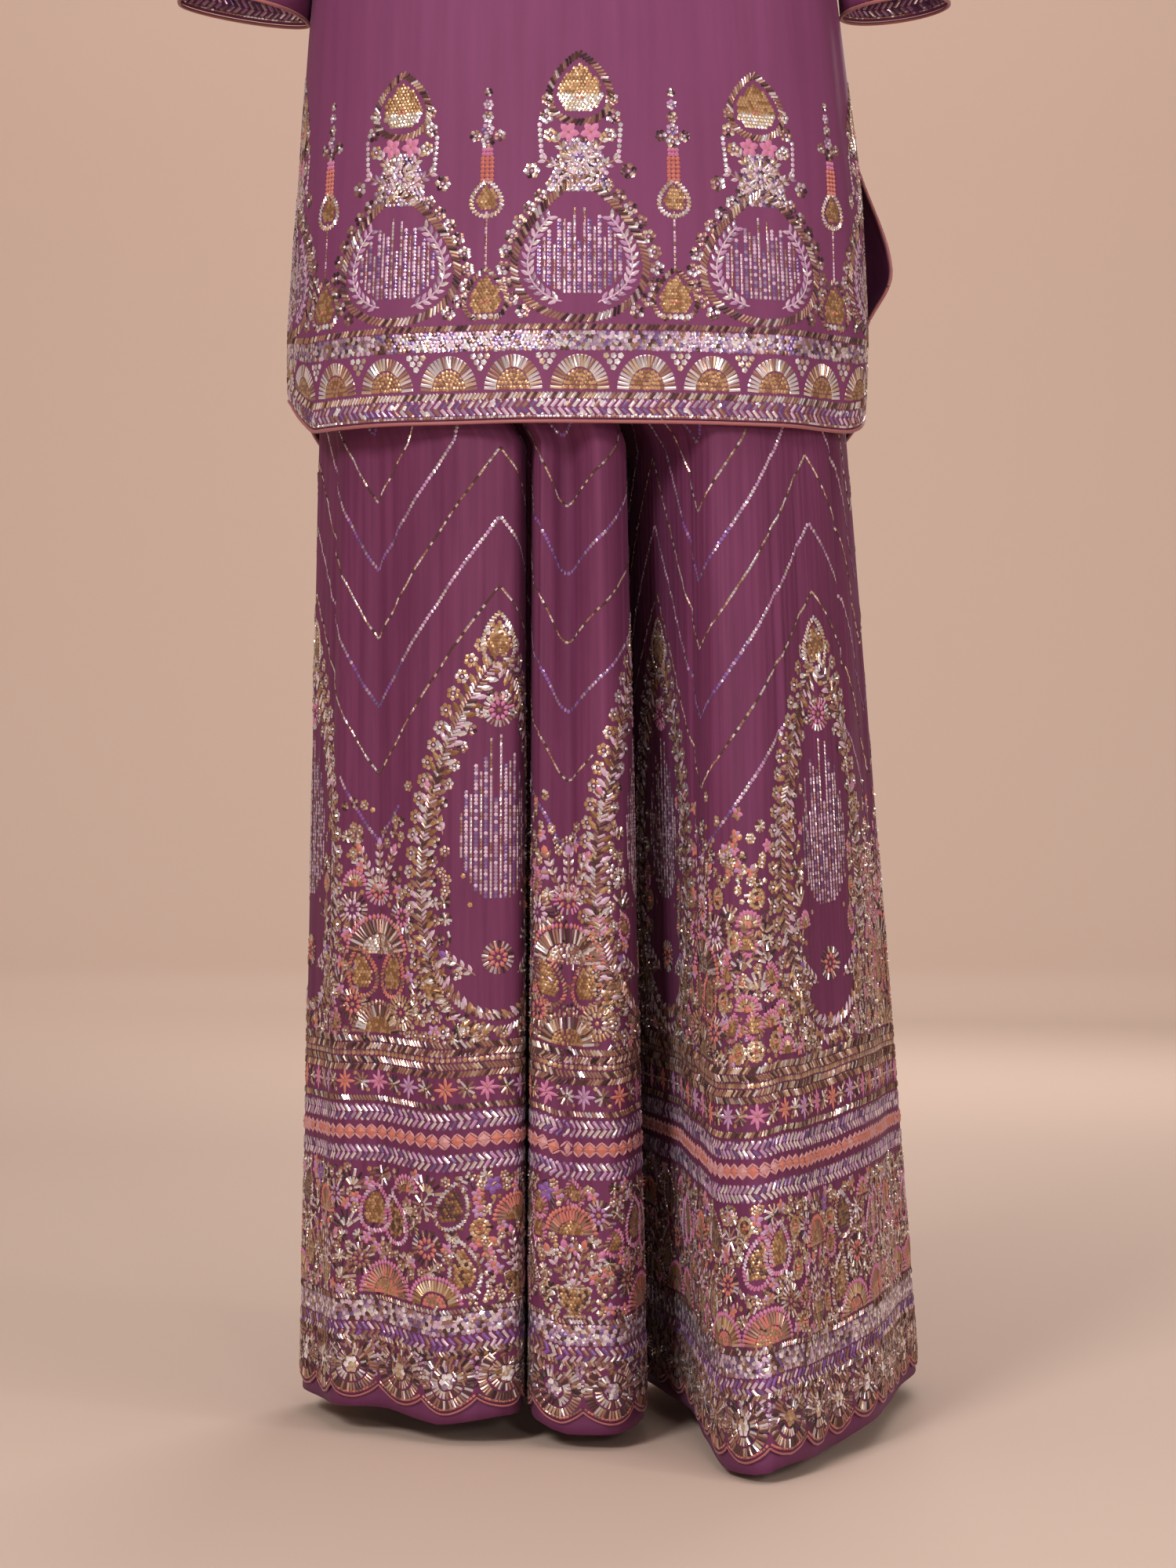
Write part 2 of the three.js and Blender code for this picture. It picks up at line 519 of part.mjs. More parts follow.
// A centripetal Catmull-Rom curve through the folds. Position q counts the rows of the fold table.
function alongFolds(points, q, isTube) {
  const last = points.length - 1;
  const pick = (k) => {
    if (k < 0) return isTube ? points[last - 1] : [-points[1][0], points[1][1]];
    if (k > last) return isTube ? points[1] : [-points[last - 1][0], points[last - 1][1]];
    return points[k];
  };
  const i = Math.min(last - 1, Math.max(0, Math.floor(q)));
  const [p0, p1, p2, p3] = [pick(i - 1), points[i], points[i + 1], pick(i + 2)];
  const gap = (a, b) => Math.max(1e-3, Math.hypot(b[0] - a[0], b[1] - a[1]) ** 0.5);
  const [d0, d1, d2] = [gap(p0, p1), gap(p1, p2), gap(p2, p3)];
  const t = q - i;
  return [0, 1].map((c) => {
    const m1 = ((p1[c] - p0[c]) / d0 - (p2[c] - p0[c]) / (d0 + d1) + (p2[c] - p1[c]) / d1) * d1;
    const m2 = ((p2[c] - p1[c]) / d1 - (p3[c] - p1[c]) / (d1 + d2) + (p3[c] - p2[c]) / d2) * d1;
    return (
      p1[c] +
      m1 * t +
      (-3 * p1[c] + 3 * p2[c] - 2 * m1 - m2) * t ** 2 +
      (2 * p1[c] - 2 * p2[c] + m1 + m2) * t ** 3
    );
  });
}

const legPoint = (leg, z, q) => alongFolds(foldsAt(leg, z), q, z <= CROTCH);

// Positions along a panel that are about evenly spaced at the hem, one scallop's steps at a time.
// The nearest of them is moved onto each fold, so that no fold is cut off.
function hemColumns(leg, from, to) {
  const samples = 600;
  const walk = Array.from({ length: samples + 1 }, (_, k) => lerp(from, to, k / samples));
  const points = walk.map((q) => legPoint(leg, PALAZZO_HEM, q));
  const run = [0];
  points.slice(1).forEach((p, k) => run.push(run[k] + Math.hypot(p[0] - points[k][0], p[1] - points[k][1])));
  const runAt = (q) => run[Math.round(((q - from) / (to - from)) * samples)];
  const scallops = Math.round(run[samples] / SCALLOP.width);
  const count = scallops * SCALLOP.steps;
  const columns = Array.from({ length: count + 1 }, (_, k) => {
    const wanted = (run[samples] * k) / count;
    const at = run.findIndex((r) => r >= wanted);
    return k === count ? to : walk[Math.max(0, at)];
  });
  for (let fold = from + 1; fold < to; fold++) {
    const nearest = Math.round((runAt(fold) / run[samples]) * count);
    columns[Math.min(count - 1, Math.max(1, nearest))] = fold;
  }
  return columns;
}

function hemDrop(leg, q) {
  const rows = legRows(leg);
  const i = Math.min(rows.length - 2, Math.floor(q));
  return lerp(rows[i].drop, rows[i + 1].drop, smooth(q - i));
}

// The vectors that move each point of a row one unit out, mitred where the cloth turns.
function rowOffsets(points, outward, isTube) {
  const count = points.length;
  const edgeNormal = (a, b) => {
    const length = Math.max(1e-6, Math.hypot(b[0] - a[0], b[1] - a[1]));
    return [(outward * (b[1] - a[1])) / length, (-outward * (b[0] - a[0])) / length];
  };
  return points.map((point, k) => {
    const before = k > 0 ? points[k - 1] : isTube ? points[count - 1] : [-points[1][0], points[1][1]];
    const end = count - 1;
    const after = k < end ? points[k + 1] : isTube ? points[0] : [-points[end - 1][0], points[end - 1][1]];
    const [n1, n2] = [edgeNormal(before, point), edgeNormal(point, after)];
    const reach = Math.max(0.4, 1 + n1[0] * n2[0] + n1[1] * n2[1]);
    return new THREE.Vector3((n1[0] + n2[0]) / reach, (n1[1] + n2[1]) / reach, 0);
  });
}

// Both panels of a leg: the outer face of each, from the hem up to the waist, and the way out at each point.
function legGrids(leg) {
  const outward = leg === "left" ? -1 : 1;
  const seam = FOLDS[leg].front.length;
  const end = legRows(leg).length - 1;
  const front = hemColumns(leg, 0, seam);
  const back = hemColumns(leg, seam, end);
  const all = [...front, ...back.slice(1)];
  const made = { front: { grid: [], normals: [] }, back: { grid: [], normals: [] }, columns: all };
  const addRow = (z, height) => {
    const isTube = z <= CROTCH;
    const points = all.map((q) => legPoint(leg, z, q));
    const loop = isTube ? points.slice(0, -1) : points;
    const offsets = rowOffsets(loop, outward, isTube);
    if (isTube) offsets.push(offsets[0]);
    for (const part of ["front", "back"]) {
      const start = part === "front" ? 0 : front.length - 1;
      const count = part === "front" ? front.length : back.length;
      const row = [];
      for (let k = 0; k < count; k++) {
        const [x, y] = points[start + k];
        const point = new THREE.Vector3(x, y, height(all[start + k], k));
        const onCentre = !isTube && (part === "front" ? k === 0 : k === count - 1);
        if ((k === 0 || k === count - 1) && !onCentre) {
          const [nextX, nextY] = points[start + (k === 0 ? 1 : k - 1)];
          point.add(new THREE.Vector3(nextX - x, nextY - y, 0).setLength(SEAM / 2 + 0.05));
        }
        row.push(point);
      }
      made[part].grid.push(row);
      made[part].normals.push(offsets.slice(start, start + count));
    }
  };
  for (const t of [...LEG_LEVELS_BELOW].reverse()) {
    addRow(lerp(FOLD_TOP, PALAZZO_HEM, t), (q, k) => {
      const arch = 1 - Math.sin((Math.PI * (k % SCALLOP.steps)) / SCALLOP.steps);
      const tips = PALAZZO_HEM - hemDrop(leg, q);
      return lerp(FOLD_TOP, tips, t) + (t === 1 ? SCALLOP.depth * arch : 0);
    });
  }
  for (const z of [...LEG_LEVELS_ABOVE].reverse()) addRow(z, () => z);
  return made;
}

function legPanel(leg, { grid, normals }) {
  const sign = leg === "left" ? -1 : 1;
  const hold = (p) => {
    if (p.z > CROTCH - 1) p.x = sign * Math.max(SEAM / 2, sign * p.x);
    return p;
  };
  return wall(grid, normals, CLOTH, false, hold);
}

// The lining's hem: a closed strip inside both panels of a leg.
function liningStrip(leg, columns) {
  const outward = leg === "left" ? -1 : 1;
  const loop = columns.slice(0, -1);
  const rows = [-1, LINING.top].map((share) => {
    const heights = loop.map((q) => {
      const tips = PALAZZO_HEM - hemDrop(leg, q);
      return share < 0 ? { z: tips - LINING.drop, tips } : { z: lerp(FOLD_TOP, tips, share), tips };
    });
    const points = loop.map((q, k) => {
      const { z, tips } = heights[k];
      return legPoint(leg, lerp(FOLD_TOP, PALAZZO_HEM, (FOLD_TOP - z) / (FOLD_TOP - tips)), q);
    });
    return { heights, points, offsets: rowOffsets(points, outward, true) };
  });
  const grid = rows.map(({ heights, points, offsets }) =>
    points.map(([x, y], k) => {
      const onLeg = new THREE.Vector3(x, y, heights[k].z);
      return onLeg.addScaledVector(offsets[k], -LINING.offset);
    }),
  );
  return wall(grid, rows.map((row) => row.offsets), LINING.wall, true);
}

// The elasticated waistband, one closed band standing on the four panels.
function waistband() {
  const grid = [WAIST + SEAM, WAIST + SEAM + WAISTBAND.height].map((z) =>
    Array.from({ length: WAISTBAND.columns }, (_, j) => {
      const angle = (2 * Math.PI * j) / WAISTBAND.columns;
      const proud = 0.8;
      const x = (WAIST_RING.side + proud) * Math.sin(angle);
      return new THREE.Vector3(x, -(WAIST_RING.front + proud) * Math.cos(angle), z);
    }),
  );
  const normals = gridNormals(grid, true, (p) => new THREE.Vector3(p.x, p.y, 0));
  return wall(grid, normals, WAISTBAND.wall, true);
}

const suit = new THREE.Group();

function add(name, geometry, colour, roughness = 0.8) {
  const material = new THREE.MeshStandardMaterial({ color: colour, roughness, metalness: 0 });
  const mesh = new THREE.Mesh(geometry, material);
  mesh.name = name;
  suit.add(mesh);
}

const kurta = { front: kurtaPanel(-1), back: kurtaPanel(1) };
for (const part of ["front", "back"]) {
  add(`kurta_${part}`, kurta[part].geometry, COLOURS.crepe);
  add(`kurta_${part}_piping`, kurtaPiping(kurta[part]), COLOURS.piping);
}

for (const side of ["left", "right"]) {
  const made = sleeve(side, kurta.front, kurta.back);
  add(`sleeve_${side}`, made.geometry, COLOURS.crepe);
  add(`sleeve_${side}_piping`, sleevePiping(made), COLOURS.piping);
}

for (const leg of ["left", "right"]) {
  const made = legGrids(leg);
  add(`palazzo_${leg}_front`, legPanel(leg, made.front), COLOURS.crepe);
  add(`palazzo_${leg}_back`, legPanel(leg, made.back), COLOURS.crepe);
  add(`palazzo_${leg}_lining_hem`, liningStrip(leg, made.columns), COLOURS.lining);
}
add("palazzo_waistband", waistband(), COLOURS.casing);

export default suit;
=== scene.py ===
"""Looks of a worn palazzo suit: thin crinkled shells over the CAD cloth, with its beadwork sewn on."""
import math

import bpy
import numpy as np
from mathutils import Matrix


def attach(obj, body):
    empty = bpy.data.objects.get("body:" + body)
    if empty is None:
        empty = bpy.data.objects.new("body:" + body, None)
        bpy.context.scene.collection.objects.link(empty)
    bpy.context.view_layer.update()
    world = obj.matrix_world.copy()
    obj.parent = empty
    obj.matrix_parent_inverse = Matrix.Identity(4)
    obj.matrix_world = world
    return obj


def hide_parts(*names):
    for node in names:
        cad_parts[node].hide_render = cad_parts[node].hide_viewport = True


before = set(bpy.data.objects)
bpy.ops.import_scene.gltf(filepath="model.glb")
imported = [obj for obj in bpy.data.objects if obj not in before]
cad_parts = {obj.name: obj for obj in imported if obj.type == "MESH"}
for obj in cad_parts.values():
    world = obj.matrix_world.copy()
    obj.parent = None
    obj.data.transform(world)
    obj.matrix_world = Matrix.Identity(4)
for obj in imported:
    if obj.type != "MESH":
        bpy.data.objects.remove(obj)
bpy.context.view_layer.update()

# Sizes are in millimetres, as in the CAD source, and become metres where a mesh is made.
MM = 0.001
SEAM = 0.3
CLOTH = 1.2
KURTA_HEM = -790
SLIT_TOP = -512
SLIT_HALF_GAP = 5.5
UNDERARM = -200
SHOULDER_TIP_X, SHOULDER_TIP_Z = 178, -14
SHOULDER_NECK_Z = 22
FRONT_NECK_DROP, BACK_NECK_DROP = 88, 24
WAIST, HIP, CROTCH = -425, -600, -715
FOLD_TOP = -800
PALAZZO_HEM = -1478
PIPING_RADIUS = 1.5
KURTA_ROUNDNESS = 2.3
YOKE_START, YOKE_ROUNDNESS = -150, 2.4
FLUTES = ((9, 1.9, 0.6), (14, 1.1, 2.1))  # waves, depth, turn
FLUTES_START = -560
LIFT_LEFT, LIFT_RIGHT, LIFT_START, LIFT_END = 30, 16, math.radians(62), -700
FLARE_DEPTH, FLARE_Z, FLARE_BELOW, FLARE_ABOVE, FLARE_REACH = 21, -668, 46, 92, math.radians(16)
SCALLOP_WIDTH, SCALLOP_DEPTH = 42, 9
LINING_OFFSET, LINING_RISE, LINING_DROP = 2.1, 44, 8

KURTA_COLUMNS = 109
BODY_ROWS = (42, 26)  # of the kurta's grid, below and above the top of the slit
YOKE_ROW = sum(BODY_ROWS) - 2
YOKE_ROWS = 34
SLEEVE_COLUMNS, SLEEVE_STEPS = 72, 8
CORD_SIDES, CORD_PITCH = 5, 1.9
BACK_SHARE = 0.45  # how thickly the ground of the trousers' back is sewn, as a share of the front's

random = np.random.default_rng(7)


def table(names, *rows):
    """A table's columns by name, with its rows in order of their first column."""
    return dict(zip(names.split(), np.array(sorted(rows), float).T))


KURTA_SECTIONS = table(
    "z left right front back",
    (-790, 208, 206, 150, 150),
    (-730, 210, 209, 148, 148),
    (-670, 208, 207, 145, 145),
    (-605, 204, 203, 141, 141),
    (-540, 200, 195, 137, 138),
    (-470, 194, 186, 130, 133),
    (-400, 181, 175, 121, 123),
    (-340, 173, 169, 121, 114),
    (-270, 174, 172, 132, 112),
    (-200, 166, 166, 123, 110),
)
ARMHOLE_SECTIONS = table(
    "z width chest front back",
    (-200, 166, 166, 123, 110),
    (-186, 155, 171, 122, 110),
    (-150, 145, 176, 118, 108),
    (-100, 144, 182, 110, 104),
    (-55, 155, 190, 100, 98),
    (-14, 178, 200, 92, 92),
    (22, 178, 206, 88, 90),
)
SLEEVE_RINGS = {
    "left": (
        (-115, 89, 169.6, 206, 77, 72),
        (-137, 77, 172, 232, 70, 62),
        (-171, 61, 176, 247, 62, 54),
        (-218, 43, 179.5, 256, 56, 50),
        (-280, 20, 182, 262, 52, 46),
        (-345, 11, 185, 268, 53, 40),
        (-412, 9, 191, 278, 56, 32),
        (-478.5, 7.5, 198, 291, 62, 26),
    ),
    "right": (
        (-115, 89, 169.6, 206, 77, 72),
        (-137, 77, 172, 231, 70, 62),
        (-171, 61, 176, 245, 62, 54),
        (-218, 43, 179.5, 253, 56, 50),
        (-280, 20, 181, 257, 50, 48),
        (-345, 10, 182, 260, 48, 44),
        (-412, 6, 185, 263, 46, 40),
        (-476, 4.5, 190.5, 268, 46, 38),
    ),
}  # height, tilt, inner and outer x, front and back depth, from the armhole down

# The trousers' folds, as in the CAD source: wrap, top x and y, hem x and y, and drop.
FRONT_FOLDS = {
    "left": (
        (0, 20, 12, 24, 100, 0),
        (0, 25, -50, 40, 6, 0),
        (3, 31, -110, 46, -88, 0),
        (9, 14, -134, 26, -126, 4),
        (17, -10, -118, -8, -124, 4),
        (24, -27, -127, -31, -111, 0),
        (29, -36, -84, -38, -34, 0),
        (34, -45, -122, -46, -104, 0),
        (44, -74, -127, -80, -112, 0),
        (53, -112, -112, -112, -97, 0),
        (62, -144, -86, -141, -70, 0),
        (72, -167, -66, -174, -54, 0),
        (81, -179, -34, -189, -14, 0),
    ),
    "right": (
        (0, 33, 14, 38, 116, 0),
        (0, 40, -34, 55, 24, 0),
        (2, 55, -70, 76, -56, 2),
        (7, 75, -108, 85, -146, 8),
        (16, 92, -129, 98, -216, 12),
        (26, 113, -125, 122, -246, 12),
        (37, 134, -113, 152, -214, 8),
        (48, 150, -101, 176, -160, 4),
        (58, 168, -86, 207, -106, 0),
        (69, 183, -60, 224, -38, 0),
        (80, 189, -33, 238, 36, 0),
    ),
}
BACK_FOLDS = {
    "left": (
        (90, -191, 6, -207, 34, 0),
        (80, -180, 52, -198, 90, 0),
        (70, -154, 78, -166, 108, 0),
        (60, -124, 114, -134, 149, 0),
        (48, -88, 127, -98, 160, 0),
        (42, -78, 90, -88, 88, 0),
        (36, -67, 129, -76, 160, 0),
        (24, -38, 133, -38, 168, 0),
        (15, -14, 117, -2, 144, 0),
        (7, 3, 110, 12, 150, 0),
        (0, 14, 66, 20, 134, 0),
        (0, 20, 12, 24, 100, 0),
    ),
    "right": (
        (90, 195, 6, 256, 108, 0),
        (80, 186, 54, 250, 160, 0),
        (69, 160, 91, 222, 196, 0),
        (59, 138, 98, 194, 188, 0),
        (47, 110, 122, 164, 206, 0),
        (40, 98, 90, 152, 140, 0),
        (33, 86, 128, 138, 201, 0),
        (20, 60, 122, 98, 192, 0),
        (4, 38, 76, 48, 162, 0),
        (0, 33, 14, 38, 116, 0),
    ),
}
WAIST_SIDE, WAIST_DEPTH = 146, 108
HIP_SIDE, HIP_DEPTH = 184, 138.6
CROTCH_SIDE, CROTCH_DEPTH = 188, 134


def lerp(a, b, t):
    return a + (b - a) * t


def circle(count, shift=0.0):
    """Directions evenly spaced round a circle, in radians."""
    return (np.arange(count) + shift) * 2 * math.pi / count


def smooth(t):
    t = np.clip(t, 0, 1)
    return t * t * (3 - 2 * t)


def signed_power(value, power):
    return np.sign(value) * np.abs(value) ** power


def run_along(points):
    """How far along the path through the points each of them lies."""
    return np.concatenate([[0], np.cumsum(np.linalg.norm(np.diff(points, axis=0), axis=1))])


def hermite(a, b, slope_a, slope_b, t):
    """A smooth curve from a to b, with its slope at each end."""
    return (
        (2 * t**3 - 3 * t**2 + 1) * a
        + (t**3 - 2 * t**2 + t) * slope_a
        + (3 * t**2 - 2 * t**3) * b
        + (t**3 - t**2) * slope_b
    )


def at_height(columns, z):
    """Every column of a table at the heights z, on a smooth curve through its rows."""
    zs = columns["z"]
    rows = np.arange(len(zs))
    low, high = np.maximum(rows - 1, 0), np.minimum(rows + 1, len(zs) - 1)
    i = np.clip(np.searchsorted(zs, z, side="right") - 1, 0, len(zs) - 2)
    span = zs[i + 1] - zs[i]
    t = np.clip((z - zs[i]) / span, 0, 1)
    read = {}
    for name, values in columns.items():
        slope = (values[high] - values[low]) / (zs[high] - zs[low])
        read[name] = hermite(values[i], values[i + 1], slope[i] * span, slope[i + 1] * span, t)
    return read


class Sheet:
    """A piece of cloth as a fine grid of points, with u along the hem and v up from it, in millimetres."""

    def __init__(self, points, u, v, outward):
        across = np.gradient(points, axis=1)
        up = np.gradient(points, axis=0)
        normals = np.cross(across, up)
        normals /= np.linalg.norm(normals, axis=2, keepdims=True) + 1e-9
        if outward < 0:
            normals = -normals
        self.points, self.normals, self.u, self.v = points, normals, u, v
        self.outward = outward

    def close(self):
        """Joins the first and last columns' normals, for a tube."""
        joined = self.normals[:, 0] + self.normals[:, -1]
        joined /= np.linalg.norm(joined, axis=1, keepdims=True)
        self.normals[:, 0] = self.normals[:, -1] = joined

    def crinkle(self, height):
        """Moves each point out by height(u, v)."""
        u, v = np.meshgrid(self.u, self.v)
        self.points = self.points + self.normals * height(u, v)[..., None]
        closed = np.allclose(self.normals[:, 0], self.normals[:, -1])
        self.__init__(self.points, self.u, self.v, self.outward)
        if closed:
            self.close()

    def locate(self, u, v):
        """The point, the way along u, the way out and the way up the cloth, at each u and v."""
        i = np.clip(np.interp(v, self.v, np.arange(len(self.v))), 0, len(self.v) - 1.001)
        j = np.clip(np.interp(u, self.u, np.arange(len(self.u))), 0, len(self.u) - 1.001)
        i0, j0 = i.astype(int), j.astype(int)
        ti, tj = (i - i0)[..., None], (j - j0)[..., None]

        def blend(grid):
            low = lerp(grid[i0, j0], grid[i0, j0 + 1], tj)
            return lerp(low, lerp(grid[i0 + 1, j0], grid[i0 + 1, j0 + 1], tj), ti)

        normal = blend(self.normals)
        normal /= np.linalg.norm(normal, axis=-1, keepdims=True)
        along = self.points[i0, j0 + 1] - self.points[i0, j0]
        along -= normal * (along * normal).sum(-1, keepdims=True)
        along /= np.linalg.norm(along, axis=-1, keepdims=True) + 1e-9
        return blend(self.points), along, normal, np.cross(normal, along) * self.outward


def soft_folds(seed, count, reach, width, depth, length, span_u, span_v):
    """Troughs and ridges of uneven length, depth and spacing, as a height over the cloth."""
    rng = np.random.default_rng(seed)
    folds = []
    for k in range(count):
        folds.append((
            span_u[0] + (span_u[1] - span_u[0]) * (k + rng.uniform(0.1, 0.9)) / count,
            rng.uniform(*width),
            rng.uniform(*depth) * (1 if k % 2 else -1),
            rng.uniform(*span_v),
            rng.uniform(*length),
            rng.uniform(-reach, reach),
        ))

    def height(u, v):
        total = np.zeros_like(u)
        for centre, wide, deep, middle, long, lean in folds:
            shift = lean * (v - middle) / max(long, 1)
            total += deep * np.exp(-(((u - centre - shift) / wide) ** 2) - ((v - middle) / long) ** 2)
        return total

    return height


def crepe_crinkle(seed, depth, wavelengths=(7, 15)):
    """Fine upright crinkles that wander as they rise."""
    rng = np.random.default_rng(seed)
    ranges = (wavelengths, (0, 6.28), (180, 520), (0, 6.28), (0.6, 2.2))
    waves = [[rng.uniform(*span) for span in ranges] for _ in range(7)]

    def height(u, v):
        total = np.zeros_like(u)
        for k, (wave, phase, long, turn, wander) in enumerate(waves):
            swell = 0.65 + 0.35 * np.sin(u / (37 + 11 * k) + v / (90 + 17 * k) + turn)
            total += np.sin(6.2832 * u / wave + phase + wander * np.sin(6.2832 * v / long + turn)) * swell
        return depth * total / 2.2

    return height


# Kurta


def kurta_body(angle, z):
    section = at_height(KURTA_SECTIONS, z)
    power = 2 / KURTA_ROUNDNESS
    x = np.where(np.sin(angle) < 0, section["left"], section["right"]) * signed_power(np.sin(angle), power)
    y = -np.where(np.cos(angle) > 0, section["front"], section["back"]) * signed_power(np.cos(angle), power)
    flute = sum(depth * np.cos(waves * angle + turn) for waves, depth, turn in FLUTES)
    scale = 1 + smooth((FLUTES_START - z) / (FLUTES_START - KURTA_HEM)) * flute / np.hypot(x, y)
    return x * scale, y * scale


def slit_flare(angle, z):
    across = np.exp(-(((angle - math.pi / 2) / FLARE_REACH) ** 2))
    away = np.where(z > FLARE_Z, (z - FLARE_Z) / FLARE_ABOVE, (FLARE_Z - z) / FLARE_BELOW)
    return FLARE_DEPTH * across * (1 - smooth(away))


def corner_lift(turn):
    lift = np.where(turn < 0, LIFT_LEFT, LIFT_RIGHT)
    return lift * smooth((np.abs(turn) - LIFT_START) / (math.pi / 2 - LIFT_START))


NECK_HALF = SHOULDER_TIP_X * math.sin(math.pi / 8) ** (2 / KURTA_ROUNDNESS)


def top_edge(x, drop):
    away = np.abs(x)
    shoulder = lerp(SHOULDER_NECK_Z, SHOULDER_TIP_Z, (away - NECK_HALF) / (SHOULDER_TIP_X - NECK_HALF))
    bowl = 1 - np.clip(away / NECK_HALF, 0, 1) ** 2.3
    return np.where(away >= NECK_HALF, shoulder, SHOULDER_NECK_Z - drop * bowl ** (1 / 2.3))


def yoke(side, across, share):
    drop = FRONT_NECK_DROP if side < 0 else BACK_NECK_DROP
    z = lerp(UNDERARM, top_edge(across * SHOULDER_TIP_X, drop), share)
    section = at_height(ARMHOLE_SECTIONS, z)
    x = across * lerp(section["width"], SHOULDER_TIP_X, smooth((share - 0.8) / 0.2))
    ridge = np.where(np.abs(x) < NECK_HALF, SHOULDER_NECK_Z, top_edge(x, drop))
    roll = np.clip((z - YOKE_START) / (ridge - YOKE_START), 0, 1)
    over = (1 - roll**YOKE_ROUNDNESS) ** (1 / YOKE_ROUNDNESS)
    chest = np.minimum(1, np.abs(x) / section["chest"])
    reach = section["front"] if side < 0 else section["back"]
    depth = reach * (1 - chest**KURTA_ROUNDNESS) ** (1 / KURTA_ROUNDNESS)
    return x, side * np.maximum(SEAM / 2, depth * over), z


def kurta_sheet(side):
    """The outer face of a kurta panel. u is 0 at the panel's middle and grows to the viewer's right."""
    lower = np.linspace(KURTA_HEM, SLIT_TOP, BODY_ROWS[0])
    upper = np.linspace(SLIT_TOP, UNDERARM, BODY_ROWS[1])
    share = np.linspace(-1, 1, KURTA_COLUMNS)
    rows = []
    for z in np.concatenate([lower, upper[1:-1]]):
        half_gap = lerp(SEAM / 2, SLIT_HALF_GAP, smooth((SLIT_TOP - z) / 60))
        section = at_height(KURTA_SECTIONS, np.array(z))
        half = math.pi / 2 - (half_gap / section["front"]) ** (KURTA_ROUNDNESS / 2)
        turn = share * half
        height = z + corner_lift(turn) * smooth((z - LIFT_END) / (KURTA_HEM - LIFT_END))
        angle = turn if side < 0 else math.pi - turn
        x, y = kurta_body(angle, height)
        if side > 0:
            x = x + slit_flare(angle, z)
        rows.append(np.stack([x, y, height], axis=-1))
    across = signed_power(np.sin(share * math.pi / 2), 2 / KURTA_ROUNDNESS)
    for step in np.linspace(0, 1, YOKE_ROWS):
        x, y, z = yoke(side, across, (1 - math.cos(math.pi * step)) / 2)
        rows.append(np.stack([x, y, z], axis=-1))
    points = np.array(rows)
    u = run_along(points[0])
    middle = np.interp(0, points[0, :, 0], u)
    return Sheet(points, u - middle, run_along(points[:, KURTA_COLUMNS // 2]), -side)


# Sleeves


def sleeve_sheet(name, front, back):
    """The outer face of a sleeve. u runs round it from the arm's outer side over the front, v up from the hem."""
    sign = -1 if name == "left" else 1
    count = SLEEVE_COLUMNS
    turn = np.linspace(0, 2 * math.pi, count + 1)
    rings = []
    for z, tilt, inner, outer, depth_front, depth_back in reversed(SLEEVE_RINGS[name]):
        half = (outer - inner) / 2
        depth = np.where(np.sin(turn) > 0, depth_front, depth_back)
        x = sign * (inner + half + half * np.cos(turn))
        rings.append(np.stack([x, -depth * np.sin(turn), z + tilt * np.cos(turn)], axis=-1))
    edge = 0 if name == "left" else -1
    armhole = np.concatenate([front.points[YOKE_ROW:, edge][::-1], back.points[YOKE_ROW:, edge][1:]])
    at = np.linspace(0, len(armhole) - 1, count + 1)
    top = np.stack([np.interp(at, np.arange(len(armhole)), armhole[:, k]) for k in range(3)], axis=-1)
    top[0, 1] = top[-1, 1] = top[count // 2, 1] = 0
    top[:, 0] += sign * 2 * SEAM
    rings.append(top)
    last = len(rings) - 1
    rows = []
    for k in np.linspace(0, last, SLEEVE_STEPS * last + 1):
        i = min(int(k), last - 1)
        before, after = rings[max(i - 1, 0)], rings[min(i + 2, last)]
        slope_low = (rings[i + 1] - before) / (1 if i == 0 else 2)
        slope_high = (after - rings[i]) / (1 if i == last - 1 else 2)
        rows.append(hermite(rings[i], rings[i + 1], slope_low, slope_high, k - i))
    points = np.array(rows)
    v = np.concatenate([[0], np.cumsum(np.linalg.norm(np.diff(points, axis=0), axis=2).mean(axis=1))])
    sheet = Sheet(points, run_along(points[0]), v, sign)
    sheet.close()
    return sheet


# Trousers


